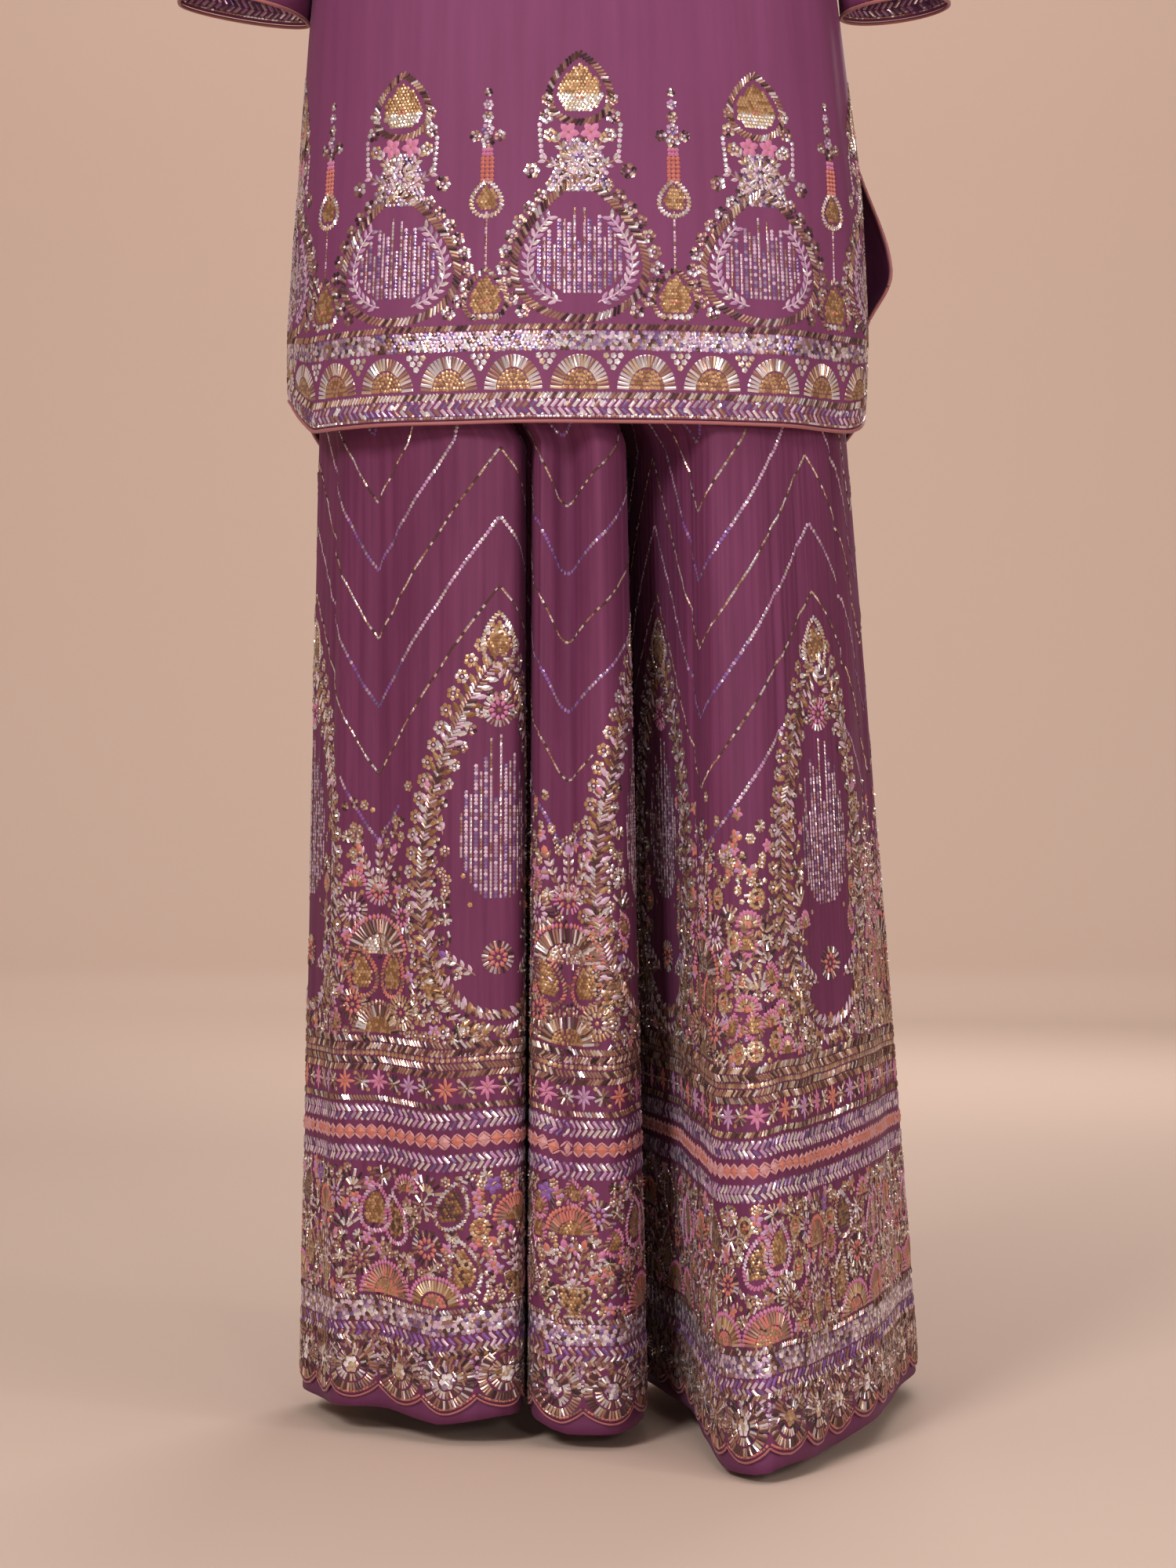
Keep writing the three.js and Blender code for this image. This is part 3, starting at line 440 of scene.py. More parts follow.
def leg_points(leg, z, q):
    """Where position q of the fold table lies at the height z. Both are arrays of one shape."""
    rows = np.array(FRONT_FOLDS[leg] + BACK_FOLDS[leg], float)
    seam, last = len(FRONT_FOLDS[leg]), len(rows) - 1
    sign = -1 if leg == "left" else 1
    index = np.arange(len(rows))
    wrapped = np.radians(np.where(index <= seam, rows[:, 0], 180 - rows[:, 0]))
    spread = np.where(index <= seam, 0.5 * index / seam, 0.5 + 0.5 * (index - seam) / (last - seam)) * math.pi
    crotch = np.stack([sign * CROTCH_SIDE * np.sin(wrapped), -CROTCH_DEPTH * np.cos(wrapped)], axis=-1)
    on_plane = rows[:, 0] == 0
    crotch[on_plane] = np.stack([np.full(on_plane.sum(), sign * SEAM / 2), rows[on_plane, 2]], axis=-1)

    def ring(side, depth):
        x = sign * np.maximum(SEAM / 2, side * np.sin(spread))
        return np.stack([x, -depth * np.cos(spread)], axis=-1)

    hip, waist = ring(HIP_SIDE, HIP_DEPTH), ring(WAIST_SIDE, WAIST_DEPTH)
    top, hem = rows[:, 1:3], rows[:, 3:5]
    z, q = np.broadcast_arrays(np.asarray(z, float), np.asarray(q, float))

    def control(k):
        k = np.clip(k, 0, last)
        t_low = ((FOLD_TOP - z) / (FOLD_TOP - PALAZZO_HEM))[..., None]
        t_open = ((CROTCH - z) / (CROTCH - FOLD_TOP))[..., None]
        t_hip = (1 - (1 - (z - CROTCH) / (HIP - CROTCH)) ** 2)[..., None]
        rise = (z - HIP) / (WAIST - HIP)
        t_waist = (smooth(rise) * 0.55 + rise * 0.45)[..., None]
        place = lerp(top[k], hem[k], t_low)
        place = np.where((z > FOLD_TOP)[..., None], lerp(crotch[k], top[k], t_open), place)
        place = np.where((z > CROTCH)[..., None], lerp(crotch[k], hip[k], t_hip), place)
        return np.where((z > HIP)[..., None], lerp(hip[k], waist[k], t_waist), place)

    i = np.clip(np.floor(q).astype(int), 0, last - 1)
    tube = (z <= CROTCH)[..., None]
    mirror = np.array([-1, 1])
    p1, p2 = control(i), control(i + 1)
    p0 = np.where((i == 0)[..., None], np.where(tube, control(i * 0 + last - 1), p2 * mirror), control(i - 1))
    ends = (i == last - 1)[..., None]
    p3 = np.where(ends, np.where(tube, control(i * 0 + 1), p1 * mirror), control(i + 2))

    def gap(a, b):
        return np.maximum(1e-3, np.linalg.norm(b - a, axis=-1) ** 0.5)[..., None]

    d0, d1, d2 = gap(p0, p1), gap(p1, p2), gap(p2, p3)
    t = (q - i)[..., None]
    m1 = ((p1 - p0) / d0 - (p2 - p0) / (d0 + d1) + (p2 - p1) / d1) * d1
    m2 = ((p2 - p1) / d1 - (p3 - p1) / (d1 + d2) + (p3 - p2) / d2) * d1
    return hermite(p1, p2, m1, m2, t)


def hem_drop(leg, q):
    drops = np.array(FRONT_FOLDS[leg] + BACK_FOLDS[leg], float)[:, 5]
    i = np.clip(np.floor(q).astype(int), 0, len(drops) - 2)
    return lerp(drops[i], drops[i + 1], smooth(q - i))


# How far the hem and its bands rise and fall round a leg, by place in the fold table
HEM_SAG = {
    "left": ((0, 2, 4.2, 6, 7.4, 8.6, 10, 12, 24), (0, -2, -3, 5, 3, -4, 3, 0, 0)),
    "right": ((0, 3, 4, 5.5, 7, 8.5, 10, 20), (0, 2, -2, 3, -3, 2, 0, 0)),
}


# Sharp upright creases: place in the fold table, depth, width, and the height where they fade out
CREASES = {
    "left": (
        (4.0, 6.5, 7, 60), (5.1, 1.6, 5, 300), (8.65, 1.8, 5, 380), (9.6, 1.4, 4.5, 330),
        (10.0, 2.4, 5, 200),
        (10.7, 1.3, 4.5, 340), (11.6, 3.0, 6, 180), (15.3, 2.2, 6, 240), (18.1, 2.6, 6, 200), (21.4, 2.0, 6, 260),
    ),
    "right": (
        (3.0, 2.6, 6, 120), (4.9, 1.4, 5, 330), (5.9, 1.8, 5, 280), (6.9, 1.2, 4.5, 360), (8.6, 2.2, 5, 240),
        (9.8, 1.6, 5, 300), (13.2, 2.4, 6, 220), (15.9, 2.0, 6, 260), (18.0, 2.4, 6, 200),
    ),
}


class Leg:
    """One trouser leg: its cloth as a tube from the inseam round the front, the side and the back."""

    def __init__(self, leg):
        self.leg = leg
        self.seam_q = len(FRONT_FOLDS[leg])
        self.end_q = self.seam_q + len(BACK_FOLDS[leg]) - 1
        walk = np.linspace(0, self.end_q, 3001)
        hem = leg_points(leg, PALAZZO_HEM, walk)
        run = run_along(hem)
        self.girth = run[-1]
        self.seam_u = float(np.interp(self.seam_q, walk, run))
        front = int(round(self.seam_u / SCALLOP_WIDTH))
        back = int(round((self.girth - self.seam_u) / SCALLOP_WIDTH))
        self.scallop_edges = np.concatenate([
            np.linspace(0, self.seam_u, front + 1),
            np.linspace(self.seam_u, self.girth, back + 1)[1:],
        ])
        steps = 11
        u = np.concatenate([
            np.linspace(a, b, steps + 1)[:-1] for a, b in zip(self.scallop_edges, self.scallop_edges[1:])
        ] + [[self.girth]])
        self.seam_column = front * steps
        self.q = np.interp(u, run, walk)
        drop = hem_drop(leg, self.q)
        spans = ((0, 60, 9), (60, 690, 44), (690, 1053, 15))
        v = np.unique(np.concatenate([np.linspace(*span) for span in spans]))
        u_grid, v_grid = np.meshgrid(u, v)
        tips = PALAZZO_HEM - drop
        low = v_grid <= FOLD_TOP - tips
        share = v_grid / (FOLD_TOP - tips)
        z = np.where(low, lerp(PALAZZO_HEM, FOLD_TOP, share), FOLD_TOP + (v_grid - (FOLD_TOP - tips)))
        height = np.where(low, lerp(tips, FOLD_TOP, share), z)
        xy = leg_points(leg, np.minimum(z, WAIST), np.broadcast_to(self.q, z.shape))
        sag = np.interp(self.q, *HEM_SAG[leg])
        height = height - np.maximum(0, z - WAIST) + sag * (1 - smooth(v_grid / 480))
        points = np.concatenate([xy, height[..., None]], axis=-1)
        steps = np.linalg.norm(np.diff(points, axis=1), axis=2)
        self.arcs = np.concatenate([np.zeros((len(v), 1)), np.cumsum(steps, axis=1)], axis=1)
        self.sheet = Sheet(points, u, v, -1 if leg == "left" else 1)
        self.sheet.points_plain = points

    def share_at(self, u):
        """How thickly the ground is sewn: the back, clear of its seams, is sewn more thinly."""
        inside = (u > self.seam_u + 40) & (u < self.girth - 40)
        return np.where(inside, BACK_SHARE, 1.0)

    def u_at(self, q):
        return np.interp(q, self.q, self.sheet.u)

    def ray(self, start, across, v):
        """Where the places lie that are across mm to the side of the line up the leg from start."""
        rows = np.interp(v, self.sheet.v, np.arange(len(self.sheet.v))).round().astype(int)
        found = np.empty(len(v))
        for k in np.unique(rows):
            here = rows == k
            middle = np.interp(start, self.sheet.u, self.arcs[k])
            found[here] = np.interp((middle + across[here]) % self.arcs[k, -1], self.arcs[k], self.sheet.u)
        return found

    def arch(self, u):
        """How far the scalloped edge stands above its tips."""
        k = np.clip(np.searchsorted(self.scallop_edges, u, side="right") - 1, 0, len(self.scallop_edges) - 2)
        share = (u - self.scallop_edges[k]) / (self.scallop_edges[k + 1] - self.scallop_edges[k])
        return SCALLOP_DEPTH * (1 - np.sin(math.pi * np.clip(share, 0, 1)) ** 0.8)


# Meshes


def new_object(name, vertices, faces, materials, face_material=None, uv=None, smooth_faces=True):
    """A mesh object of faces with four corners. Where a face names its last corner twice, it is a triangle."""
    mesh = bpy.data.meshes.new(name)
    faces = np.asarray(faces)
    corners = np.ones(faces.shape, bool)
    corners[:, 3] = faces[:, 2] != faces[:, 3]
    loops = faces[corners]
    starts = np.concatenate([[0], np.cumsum(corners.sum(axis=1))[:-1]])
    mesh.vertices.add(len(vertices))
    mesh.vertices.foreach_set("co", (np.asarray(vertices) * MM).ravel())
    mesh.loops.add(len(loops))
    mesh.loops.foreach_set("vertex_index", loops.astype(np.int32))
    mesh.polygons.add(len(faces))
    mesh.polygons.foreach_set("loop_start", starts.astype(np.int32))
    mesh.polygons.foreach_set("use_smooth", np.full(len(faces), smooth_faces))
    for material in materials:
        mesh.materials.append(material)
    if face_material is not None:
        mesh.polygons.foreach_set("material_index", face_material.astype(np.int32))
    if uv is not None:
        layer = mesh.uv_layers.new(name="cloth")
        layer.data.foreach_set("uv", (uv[loops] * MM).ravel())
    mesh.update()
    mesh.validate()
    made = bpy.data.objects.new(name, mesh)
    bpy.context.scene.collection.objects.link(made)
    return made


def grid_quads(index):
    """The faces between the neighbours of a grid of vertex numbers."""
    corners = (index[:-1, :-1], index[:-1, 1:], index[1:, 1:], index[1:, :-1])
    return np.stack(corners, axis=-1).reshape(-1, 4)


def cloth_object(name, sheet, columns, material, thickness=CLOTH, edge=None):
    """A thin shell on a stretch of a sheet's columns. edge(u) raises its lowest row."""
    u = sheet.u[columns]
    u_grid, v_grid = np.meshgrid(u, sheet.v)
    if edge is not None:
        v_grid = v_grid + edge(u_grid) * np.clip(1 - v_grid / 24, 0, 1)
    points, _, _, _ = sheet.locate(u_grid, v_grid)
    quads = grid_quads(np.arange(u_grid.size).reshape(u_grid.shape))
    if sheet.outward < 0:
        quads = quads[:, ::-1]
    uv = np.stack([u_grid, v_grid], axis=-1).reshape(-1, 2)
    made = new_object(name, points.reshape(-1, 3), quads, [material], uv=uv)
    shell = made.modifiers.new("thickness", "SOLIDIFY")
    shell.thickness = thickness * MM
    shell.offset = -1
    shell.use_even_offset = False
    return made


def tube(path, radii, closed=False):
    """Vertices and faces of a tube along a path of points with a radius at each."""
    ahead = np.roll(path, -1, axis=0) - np.roll(path, 1, axis=0)
    if not closed:
        ahead[0], ahead[-1] = path[1] - path[0], path[-1] - path[-2]
    ahead /= np.linalg.norm(ahead, axis=1, keepdims=True) + 1e-9
    helper = np.where(np.abs(ahead[:, 2:3]) > 0.9, np.array([[1.0, 0, 0]]), np.array([[0, 0, 1.0]]))
    a = np.cross(ahead, helper)
    a /= np.linalg.norm(a, axis=1, keepdims=True)
    b = np.cross(ahead, a)
    turn = circle(CORD_SIDES)[None, :, None]
    ring = a[:, None] * np.cos(turn) + b[:, None] * np.sin(turn)
    vertices = path[:, None] + ring * radii[:, None, None]
    index = np.arange(len(path) * CORD_SIDES).reshape(len(path), CORD_SIDES)
    low, high = (index, np.roll(index, -1, axis=0)) if closed else (index[:-1], index[1:])
    faces = np.stack([low, np.roll(low, -1, axis=1), np.roll(high, -1, axis=1), high], axis=-1)
    return vertices.reshape(-1, 3), faces.reshape(-1, 4)


def wrapped_cord(name, path, radius, pitch, closed=False):
    """A cord wound round with thread, which shows as a ring at each pitch."""
    if closed:
        path = np.concatenate([path, path[:1]])
    run = run_along(path)
    at = np.linspace(0, run[-1], 2 * int(run[-1] / pitch) + 1)
    if closed:
        at = at[:-1]
    points = np.stack([np.interp(at, run, path[:, k]) for k in range(3)], axis=-1)
    radii = np.where(np.arange(len(at)) % 2, radius, radius * 0.8)
    return new_object(name, *tube(points, radii, closed), [CORD])


# Materials


def principled(name, colour, roughness, metallic=0.0, sheen=0.0):
    material = bpy.data.materials.new(name)
    material.use_nodes = True
    shader = material.node_tree.nodes["Principled BSDF"]
    shader.inputs["Base Color"].default_value = (*colour, 1)
    shader.inputs["Roughness"].default_value = roughness
    shader.inputs["Metallic"].default_value = metallic
    shader.inputs["Sheen Weight"].default_value = sheen
    shader.inputs["Sheen Roughness"].default_value = 0.4
    return material


def cloth_material(name, dark, light, sheen, streaks, bump):
    """Crepe: upright streaks in the colour that follow the fine crinkles in the bump, lighter on their ridges and
    darker in their troughs as painted shade, with broad mottling too; weave in the bump.
    """
    material = principled(name, light, 0.66, sheen=sheen)
    nodes, links = material.node_tree.nodes, material.node_tree.links
    shader = nodes["Principled BSDF"]
    shader.inputs["Sheen Tint"].default_value = (0.9, 0.5, 0.8, 1)
    shader.inputs["Specular IOR Level"].default_value = 0.2
    place = nodes.new("ShaderNodeUVMap")
    place.uv_map = "cloth"

    def noise(scale_u, scale_v, detail, roughness=0.55):
        stretch = nodes.new("ShaderNodeMapping")
        stretch.inputs["Scale"].default_value = (scale_u, scale_v, 1)
        links.new(place.outputs["UV"], stretch.inputs["Vector"])
        made = nodes.new("ShaderNodeTexNoise")
        made.inputs["Scale"].default_value = 1
        made.inputs["Detail"].default_value = detail
        made.inputs["Roughness"].default_value = roughness
        links.new(stretch.outputs["Vector"], made.inputs["Vector"])
        return made.outputs["Fac"]

    # This noise is the crinkles' height in the bump and, through the ramp, darkens the colour in their troughs:
    # painted shade.
    crinkle_and_shade = noise(streaks, 5, 4)
    cloud = noise(14, 9, 3)
    weave = noise(2600, 2600, 1)
    add = nodes.new("ShaderNodeMath")
    add.operation = "MULTIPLY_ADD"
    links.new(crinkle_and_shade, add.inputs[0])
    add.inputs[1].default_value = 0.75
    half = nodes.new("ShaderNodeMath")
    half.operation = "MULTIPLY"
    half.inputs[1].default_value = 0.35
    links.new(cloud, half.inputs[0])
    links.new(half.outputs[0], add.inputs[2])
    ramp = nodes.new("ShaderNodeValToRGB")
    ramp.color_ramp.elements[0].position = 0.34
    ramp.color_ramp.elements[0].color = (*dark, 1)
    ramp.color_ramp.elements[1].position = 0.74
    ramp.color_ramp.elements[1].color = (*light, 1)
    links.new(add.outputs[0], ramp.inputs["Fac"])
    links.new(ramp.outputs["Color"], shader.inputs["Base Color"])
    crinkles = nodes.new("ShaderNodeBump")
    crinkles.inputs["Strength"].default_value = bump
    crinkles.inputs["Distance"].default_value = 0.0012
    links.new(crinkle_and_shade, crinkles.inputs["Height"])
    threads = nodes.new("ShaderNodeBump")
    threads.inputs["Strength"].default_value = 0.25
    threads.inputs["Distance"].default_value = 0.0002
    links.new(weave, threads.inputs["Height"])
    links.new(crinkles.outputs["Normal"], threads.inputs["Normal"])
    links.new(threads.outputs["Normal"], shader.inputs["Normal"])
    return material


# Cloths: dark colour (painted shade in the crinkles' troughs, with mottling) and light colour, sheen, streaks and
# bump
CREPE = cloth_material("crepe", (0.172, 0.040, 0.108), (0.206, 0.050, 0.131), 0.06, 90, 0.2)
# The trousers' cloth is darker than the kurta's crepe, partly as painted shade for the lower cloth, which gets
# less light.
CRINKLED = cloth_material("crinkled_crepe", (0.112, 0.022, 0.062), (0.180, 0.039, 0.104), 0.06, 150, 0.5)
LINING = cloth_material("lining", (0.125, 0.028, 0.080), (0.158, 0.038, 0.105), 0.05, 60, 0.15)
CASING = cloth_material("casing", (0.11, 0.024, 0.066), (0.16, 0.038, 0.100), 0.05, 260, 0.8)
CORD = principled("coral_thread_cord", (0.37, 0.115, 0.115), 0.5, sheen=0.3)

# Bead and thread tones: colour, roughness and how metallic it is
TONES = {
    "gold": ((0.47, 0.265, 0.125), 0.26, 0.4),
    "old_gold": ((0.25, 0.115, 0.042), 0.32, 0.3),
    "pale_gold": ((0.70, 0.54, 0.39), 0.2, 0.65),
    "rose_gold": ((0.39, 0.215, 0.165), 0.23, 0.6),
    # Brown is a real bead colour, but here darker and sewn more often to stand in for the shade in the gaps
    # between beads: partly painted shade.
    "brown": ((0.10, 0.045, 0.035), 0.25, 0.4),
    # This near-black tone is no bead's own colour: it is painted shade between the beads and painted dark
    # reflection in cut glass.
    "smoke": ((0.06, 0.03, 0.035), 0.16, 0.5),
    "silver": ((0.86, 0.79, 0.80), 0.14, 0.7),
    # The near-white mirror tone is a shiny finish, and its white colour is partly a painted glint.
    "mirror": ((0.99, 0.97, 0.99), 0.08, 0.5),
    "lilac_foil": ((0.46, 0.31, 0.44), 0.22, 0.55),
    "violet_foil": ((0.22, 0.13, 0.31), 0.24, 0.55),
    "lilac": ((0.46, 0.24, 0.42), 0.5, 0.0),
    "violet": ((0.21, 0.08, 0.30), 0.5, 0.0),
    "pink": ((0.56, 0.18, 0.32), 0.5, 0.0),
    "coral": ((0.56, 0.17, 0.125), 0.5, 0.0),
    "rose": ((0.58, 0.27, 0.27), 0.5, 0.0),
    "tan": ((0.32, 0.16, 0.10), 0.4, 0.2),
    "mauve": ((0.62, 0.43, 0.53), 0.4, 0.2),
}
TONE_NAMES = list(TONES)
TONE_MATERIALS = [
    principled(f"bead_{name}", colour, roughness, metallic, sheen=0.0 if metallic > 0.5 else 0.3)
    for name, (colour, roughness, metallic) in TONES.items()
]


# Beads and stitches: x along, y across and z out, each from -1 to 1 before it is sized


def bugle_shape():
    """A cut bead: a bar with a ridge along it and sloping ends."""
    points = [(-1, -1, 0), (1, -1, 0), (1, 1, 0), (-1, 1, 0), (-0.8, 0.1, 0.55), (0.8, -0.1, 0.55)]
    faces = [(0, 1, 5, 4), (2, 3, 4, 5), (1, 2, 5, 5), (3, 0, 4, 4)]
    return np.array(points, float), np.array(faces)


def disc_shape(crown):
    """A sequin: a dished disc of five sides, or a round bead where its crown is high."""
    turn = circle(5)
    ring = np.stack([np.cos(turn), np.sin(turn), np.zeros(5)], axis=-1)
    return round_centre([*ring, (0, 0, crown)])


def round_centre(points):
    """A shape whose last point is the tip over the ring of all the others."""
    sides = len(points) - 1
    faces = [(k, (k + 1) % sides, sides, sides) for k in range(sides)]
    return np.array(points, float), np.array(faces)


LEAF = [(-1, 0, 0), (-0.3, -1, 0.1), (0.45, -0.8, 0.1), (1, 0, 0), (0.45, 0.8, 0.1), (-0.3, 1, 0.1)]
SHAPES = {
    "bugle": bugle_shape(),
    "diamond": round_centre([(-1, 0, 0), (0, -1, 0), (1, 0, 0), (0, 1, 0), (0, 0, 1)]),
    "sequin": disc_shape(0.35),
    "bead": disc_shape(1.0),
    "stitch": round_centre([*LEAF, (0.1, 0, 1)]),
}
BEAD_LIFT = 0.15  # how far a bead's foot stands off the cloth
SEQUIN_TIP, BEAD_TIP = 0.3, 0.18  # how unevenly they lie


class Embroidery:
    """Beads and stitches laid out flat, in u and v, and then sewn onto a sheet."""

    def __init__(self):
        self.items = {kind: [] for kind in SHAPES}

    def add(self, kind, tone, u, v, angle, long, wide, high):
        """Adds beads of one kind, each in one of the named tones. The other values may be arrays."""
        given = np.broadcast_arrays(*(np.asarray(value, float) for value in (u, v, angle, long, wide, high)))
        columns = [np.atleast_1d(value) for value in given]
        tones = [TONE_NAMES.index(name) for name in tone.split()]
        columns.append(random.choice(tones, size=columns[0].shape))
        self.items[kind].append(np.stack([column.astype(float).ravel() for column in columns], axis=-1))

    def rays(self, kind, tone, u, v, radius, turn, *size):
        """Adds beads that point away from one place, at a radius from it."""
        self.add(kind, tone, u + radius * np.cos(turn), v + radius * np.sin(turn), turn, *size)

    def used(self):
        """The places of all the beads so far."""
        return np.concatenate([np.concatenate(rows)[:, :2] for rows in self.items.values() if rows])

    def take(self, motif, place):
        """Takes over a motif drawn about u = 0. place(across, v) says where its beads go."""
        for kind, parts in motif.items.items():
            if parts:
                rows = np.concatenate(parts)
                rows[:, 0] = place(rows[:, 0], rows[:, 1])
                self.items[kind].append(rows)

    def mesh(self, name, sheet, keep=None):
        """Sews the beads onto a sheet, as one mesh. keep(u, v) says which of them belong to it."""
        vertices, quads, tones = [], [], []
        base = 0
        for kind, parts in self.items.items():
            rows = np.concatenate(parts) if parts else np.zeros((0, 7))
            if keep is not None:
                rows = rows[keep(rows[:, 0], rows[:, 1])]
            if not len(rows):
                continue
            shape, faces = SHAPES[kind]
            u, v, angle, long, wide, high, tone = rows.T
            point, along, normal, up = sheet.locate(u, v)
            tip = random.normal(0, SEQUIN_TIP if kind == "sequin" else BEAD_TIP, (len(rows), 2))
            cos, sin = np.cos(angle)[:, None], np.sin(angle)[:, None]
            x = along * cos + up * sin
            y = -along * sin + up * cos
            z = normal + x * tip[:, :1] + y * tip[:, 1:]
            local = shape[None] * np.stack([long / 2, wide / 2, high], axis=-1)[:, None]
            placed = (point + normal * BEAD_LIFT)[:, None] + local @ np.stack([x, y, z], axis=1)
            vertices.append(placed.reshape(-1, 3))
            offset = base + np.arange(len(rows))[:, None, None] * len(shape)
            quads.append((faces[None] + offset).reshape(-1, 4))
            tones.append(np.repeat(tone, len(faces)))
            base += len(rows) * len(shape)
        used, slots = np.unique(np.concatenate(tones).astype(int), return_inverse=True)
        materials = [TONE_MATERIALS[index] for index in used]
        faces = np.concatenate(quads)
        made = new_object(name, np.concatenate(vertices), faces, materials, slots, smooth_faces=False)
        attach(made, "root")


# Stitch patterns, each drawn with its own origin and size

# In these tone lists the brown and near-black tones are partly painted shade between beads, and the near-white
# mirror tone is partly a painted glint.
SILVERS = "silver silver mirror rose_gold pale_gold smoke"
GOLDS = "gold gold gold old_gold old_gold brown pale_gold"
LILACS = "lilac_foil lilac_foil mauve silver violet_foil lilac"
BAND = "lilac_foil violet_foil rose_gold mauve lilac_foil brown silver"
ROPE = "rose_gold rose_gold rose_gold brown brown pale_gold silver tan smoke"
CLEAR = "silver silver rose_gold rose_gold pale_gold brown smoke"
GROUND = "rose_gold silver brown tan smoke old_gold lilac_foil"


def along_path(points, pitch):
    """Evenly spaced places on a path, and its direction at each."""
    points = np.asarray(points, float)
    run = np.concatenate([[0], np.cumsum(np.hypot(*np.diff(points, axis=0).T))])
    count = max(2, int(round(run[-1] / pitch)))
    at = (np.arange(count) + 0.5) * run[-1] / count
    u, v = (np.interp(at, run, points[:, k]) for k in (0, 1))
    step = 0.3 * pitch
    ahead_u = np.interp(at + step, run, points[:, 0]) - np.interp(at - step, run, points[:, 0])
    ahead_v = np.interp(at + step, run, points[:, 1]) - np.interp(at - step, run, points[:, 1])
    return u, v, np.arctan2(ahead_v, ahead_u)


def along_cloth(sheet, u, v, pitch):
    """Places on a line over the cloth, evenly spaced as the cloth lies, and its direction at each."""
    point, along, _, up = sheet.locate(u, v)
    run = run_along(point)
    ahead = np.gradient(point, axis=0)
    angle = np.unwrap(np.arctan2((ahead * up).sum(axis=1), (ahead * along).sum(axis=1)))
    at = np.arange(0.5 * pitch, run[-1], pitch)
    return np.interp(at, run, u), np.interp(at, run, v), np.interp(at, run, angle)


def rope(e, points, tone=ROPE, long=5.6, pitch=2.7, slant=56, wide=1.9):
    """A raised rope of slanted bugles."""
    u, v, angle = along_path(points, pitch)
    e.add("bugle", tone, u, v, angle + math.radians(slant), long, wide, 1.3)


def level_from(ends):
    """A function that gives the level line at a height, from end to end."""
    return lambda v: [(ends[0], v), (ends[1], v)]


def bead_line(e, points, tone, pitch=2.7):
    u, v, angle = along_path(points, pitch)
    e.add("bugle", tone, u, v, angle, 2.3, 1.6, 0.9)


def sequin_line(e, points, tone, pitch=2.9, size=3.3):
    u, v, angle = along_path(points, pitch)
    e.add("sequin", tone, u, v, angle, size, size, 0.8)


def thread_line(e, points, tone, pitch=2.8):
    u, v, angle = along_path(points, pitch)
    e.add("stitch", tone, u, v, angle + 0.25, pitch * 1.5, 1.3, 0.5)


def sequin_field(e, u0, u1, v0, v1, tone, pitch=2.9, size=3.4):
    """Packed rows of sequins."""
    rows = max(1, int(round((v1 - v0) / (pitch * 0.87))))
    for k in range(rows):
        count = int((u1 - u0) / pitch)
        u = u0 + (np.arange(count) + 0.5 + 0.5 * (k % 2)) * pitch
        v = v0 + (k + 0.5) * (v1 - v0) / rows + random.normal(0, 0.3, count)
        u = u + random.normal(0, 0.3, count)
        e.add("sequin", tone, u, v, random.uniform(0, 6.28, count), size, size, 0.8)


def sequin_flower(e, u, v, size, tone, heart="mirror"):
    """A ring of sequins round one bead."""
    turn = circle(6) + random.uniform(0, 1)
    e.rays("sequin", tone, u, v, size, turn, size * 1.1, size * 1.1, 0.9)
    e.add("bead", heart, u, v, 0, 2.2, 2.2, 1.4)


def wreath(e, outline, size, tone, pitch=None):
    """Sequin flowers side by side along an outline."""
    u, v, _ = along_path(outline, pitch or size * 3.1)
    for at_u, at_v in zip(u, v):
        sequin_flower(e, at_u, at_v, size, tone)


def rosette(e, u, v, radius, core=GOLDS, petals="pink", rays=SILVERS):
    """A round flower: a heart of sequins, a ring of petals and a ring of ray beads."""
    for ring in range(max(1, int(radius * 0.34 / 2.4))):
        e.rays("sequin", core, u, v, 2.4 * ring, circle(max(1, 6 * ring)), 3.4, 3.4, 1.0)
    petal_turns = circle(max(6, int(radius * 0.85)))
    e.rays("stitch", petals, u, v, 0.5 * radius, petal_turns, 0.42 * radius, 3.0, 1.0)
    ray_turns = circle(max(8, int(radius * 2 * math.pi / 3.2)), 0.5)
    e.rays("bugle", rays, u, v, 0.86 * radius, ray_turns, 0.3 * radius + 1.5, 1.8, 1.1)


def floweret(e, u, v, size, petals, heart="gold"):
    """A five-petalled flower with a bead at its heart."""
    turn = circle(5) + random.uniform(0, 1.2)
    e.rays("stitch", petals, u, v, 0.55 * size, turn, size, 0.7 * size, 0.9)
    e.add("bead", heart, u, v, 0, 2.4, 2.4, 1.3)


def star_flower(e, u, v, size, petals="pink"):
    """Eight slim petals, as on the star bands."""
    long = np.where(np.arange(8) % 2, 0.75, 1.0) * size
    e.rays("stitch", petals, u, v, 0.55 * long, circle(8), long, 2.6, 0.9)
    e.add("bead", "gold", u, v, 0, 2.6, 2.6, 1.3)


def burst(e, u, v, size, tone=CLEAR):
    """A tuft of cut beads that spread from one point."""
    turn = circle(9) + random.uniform(0, 0.6)
    e.rays("bugle", tone, u, v, 0.58 * size, turn, 0.75 * size, 1.8, 1.1)
    e.add("bead", "pale_gold", u, v, 0, 2.4, 2.4, 1.4)


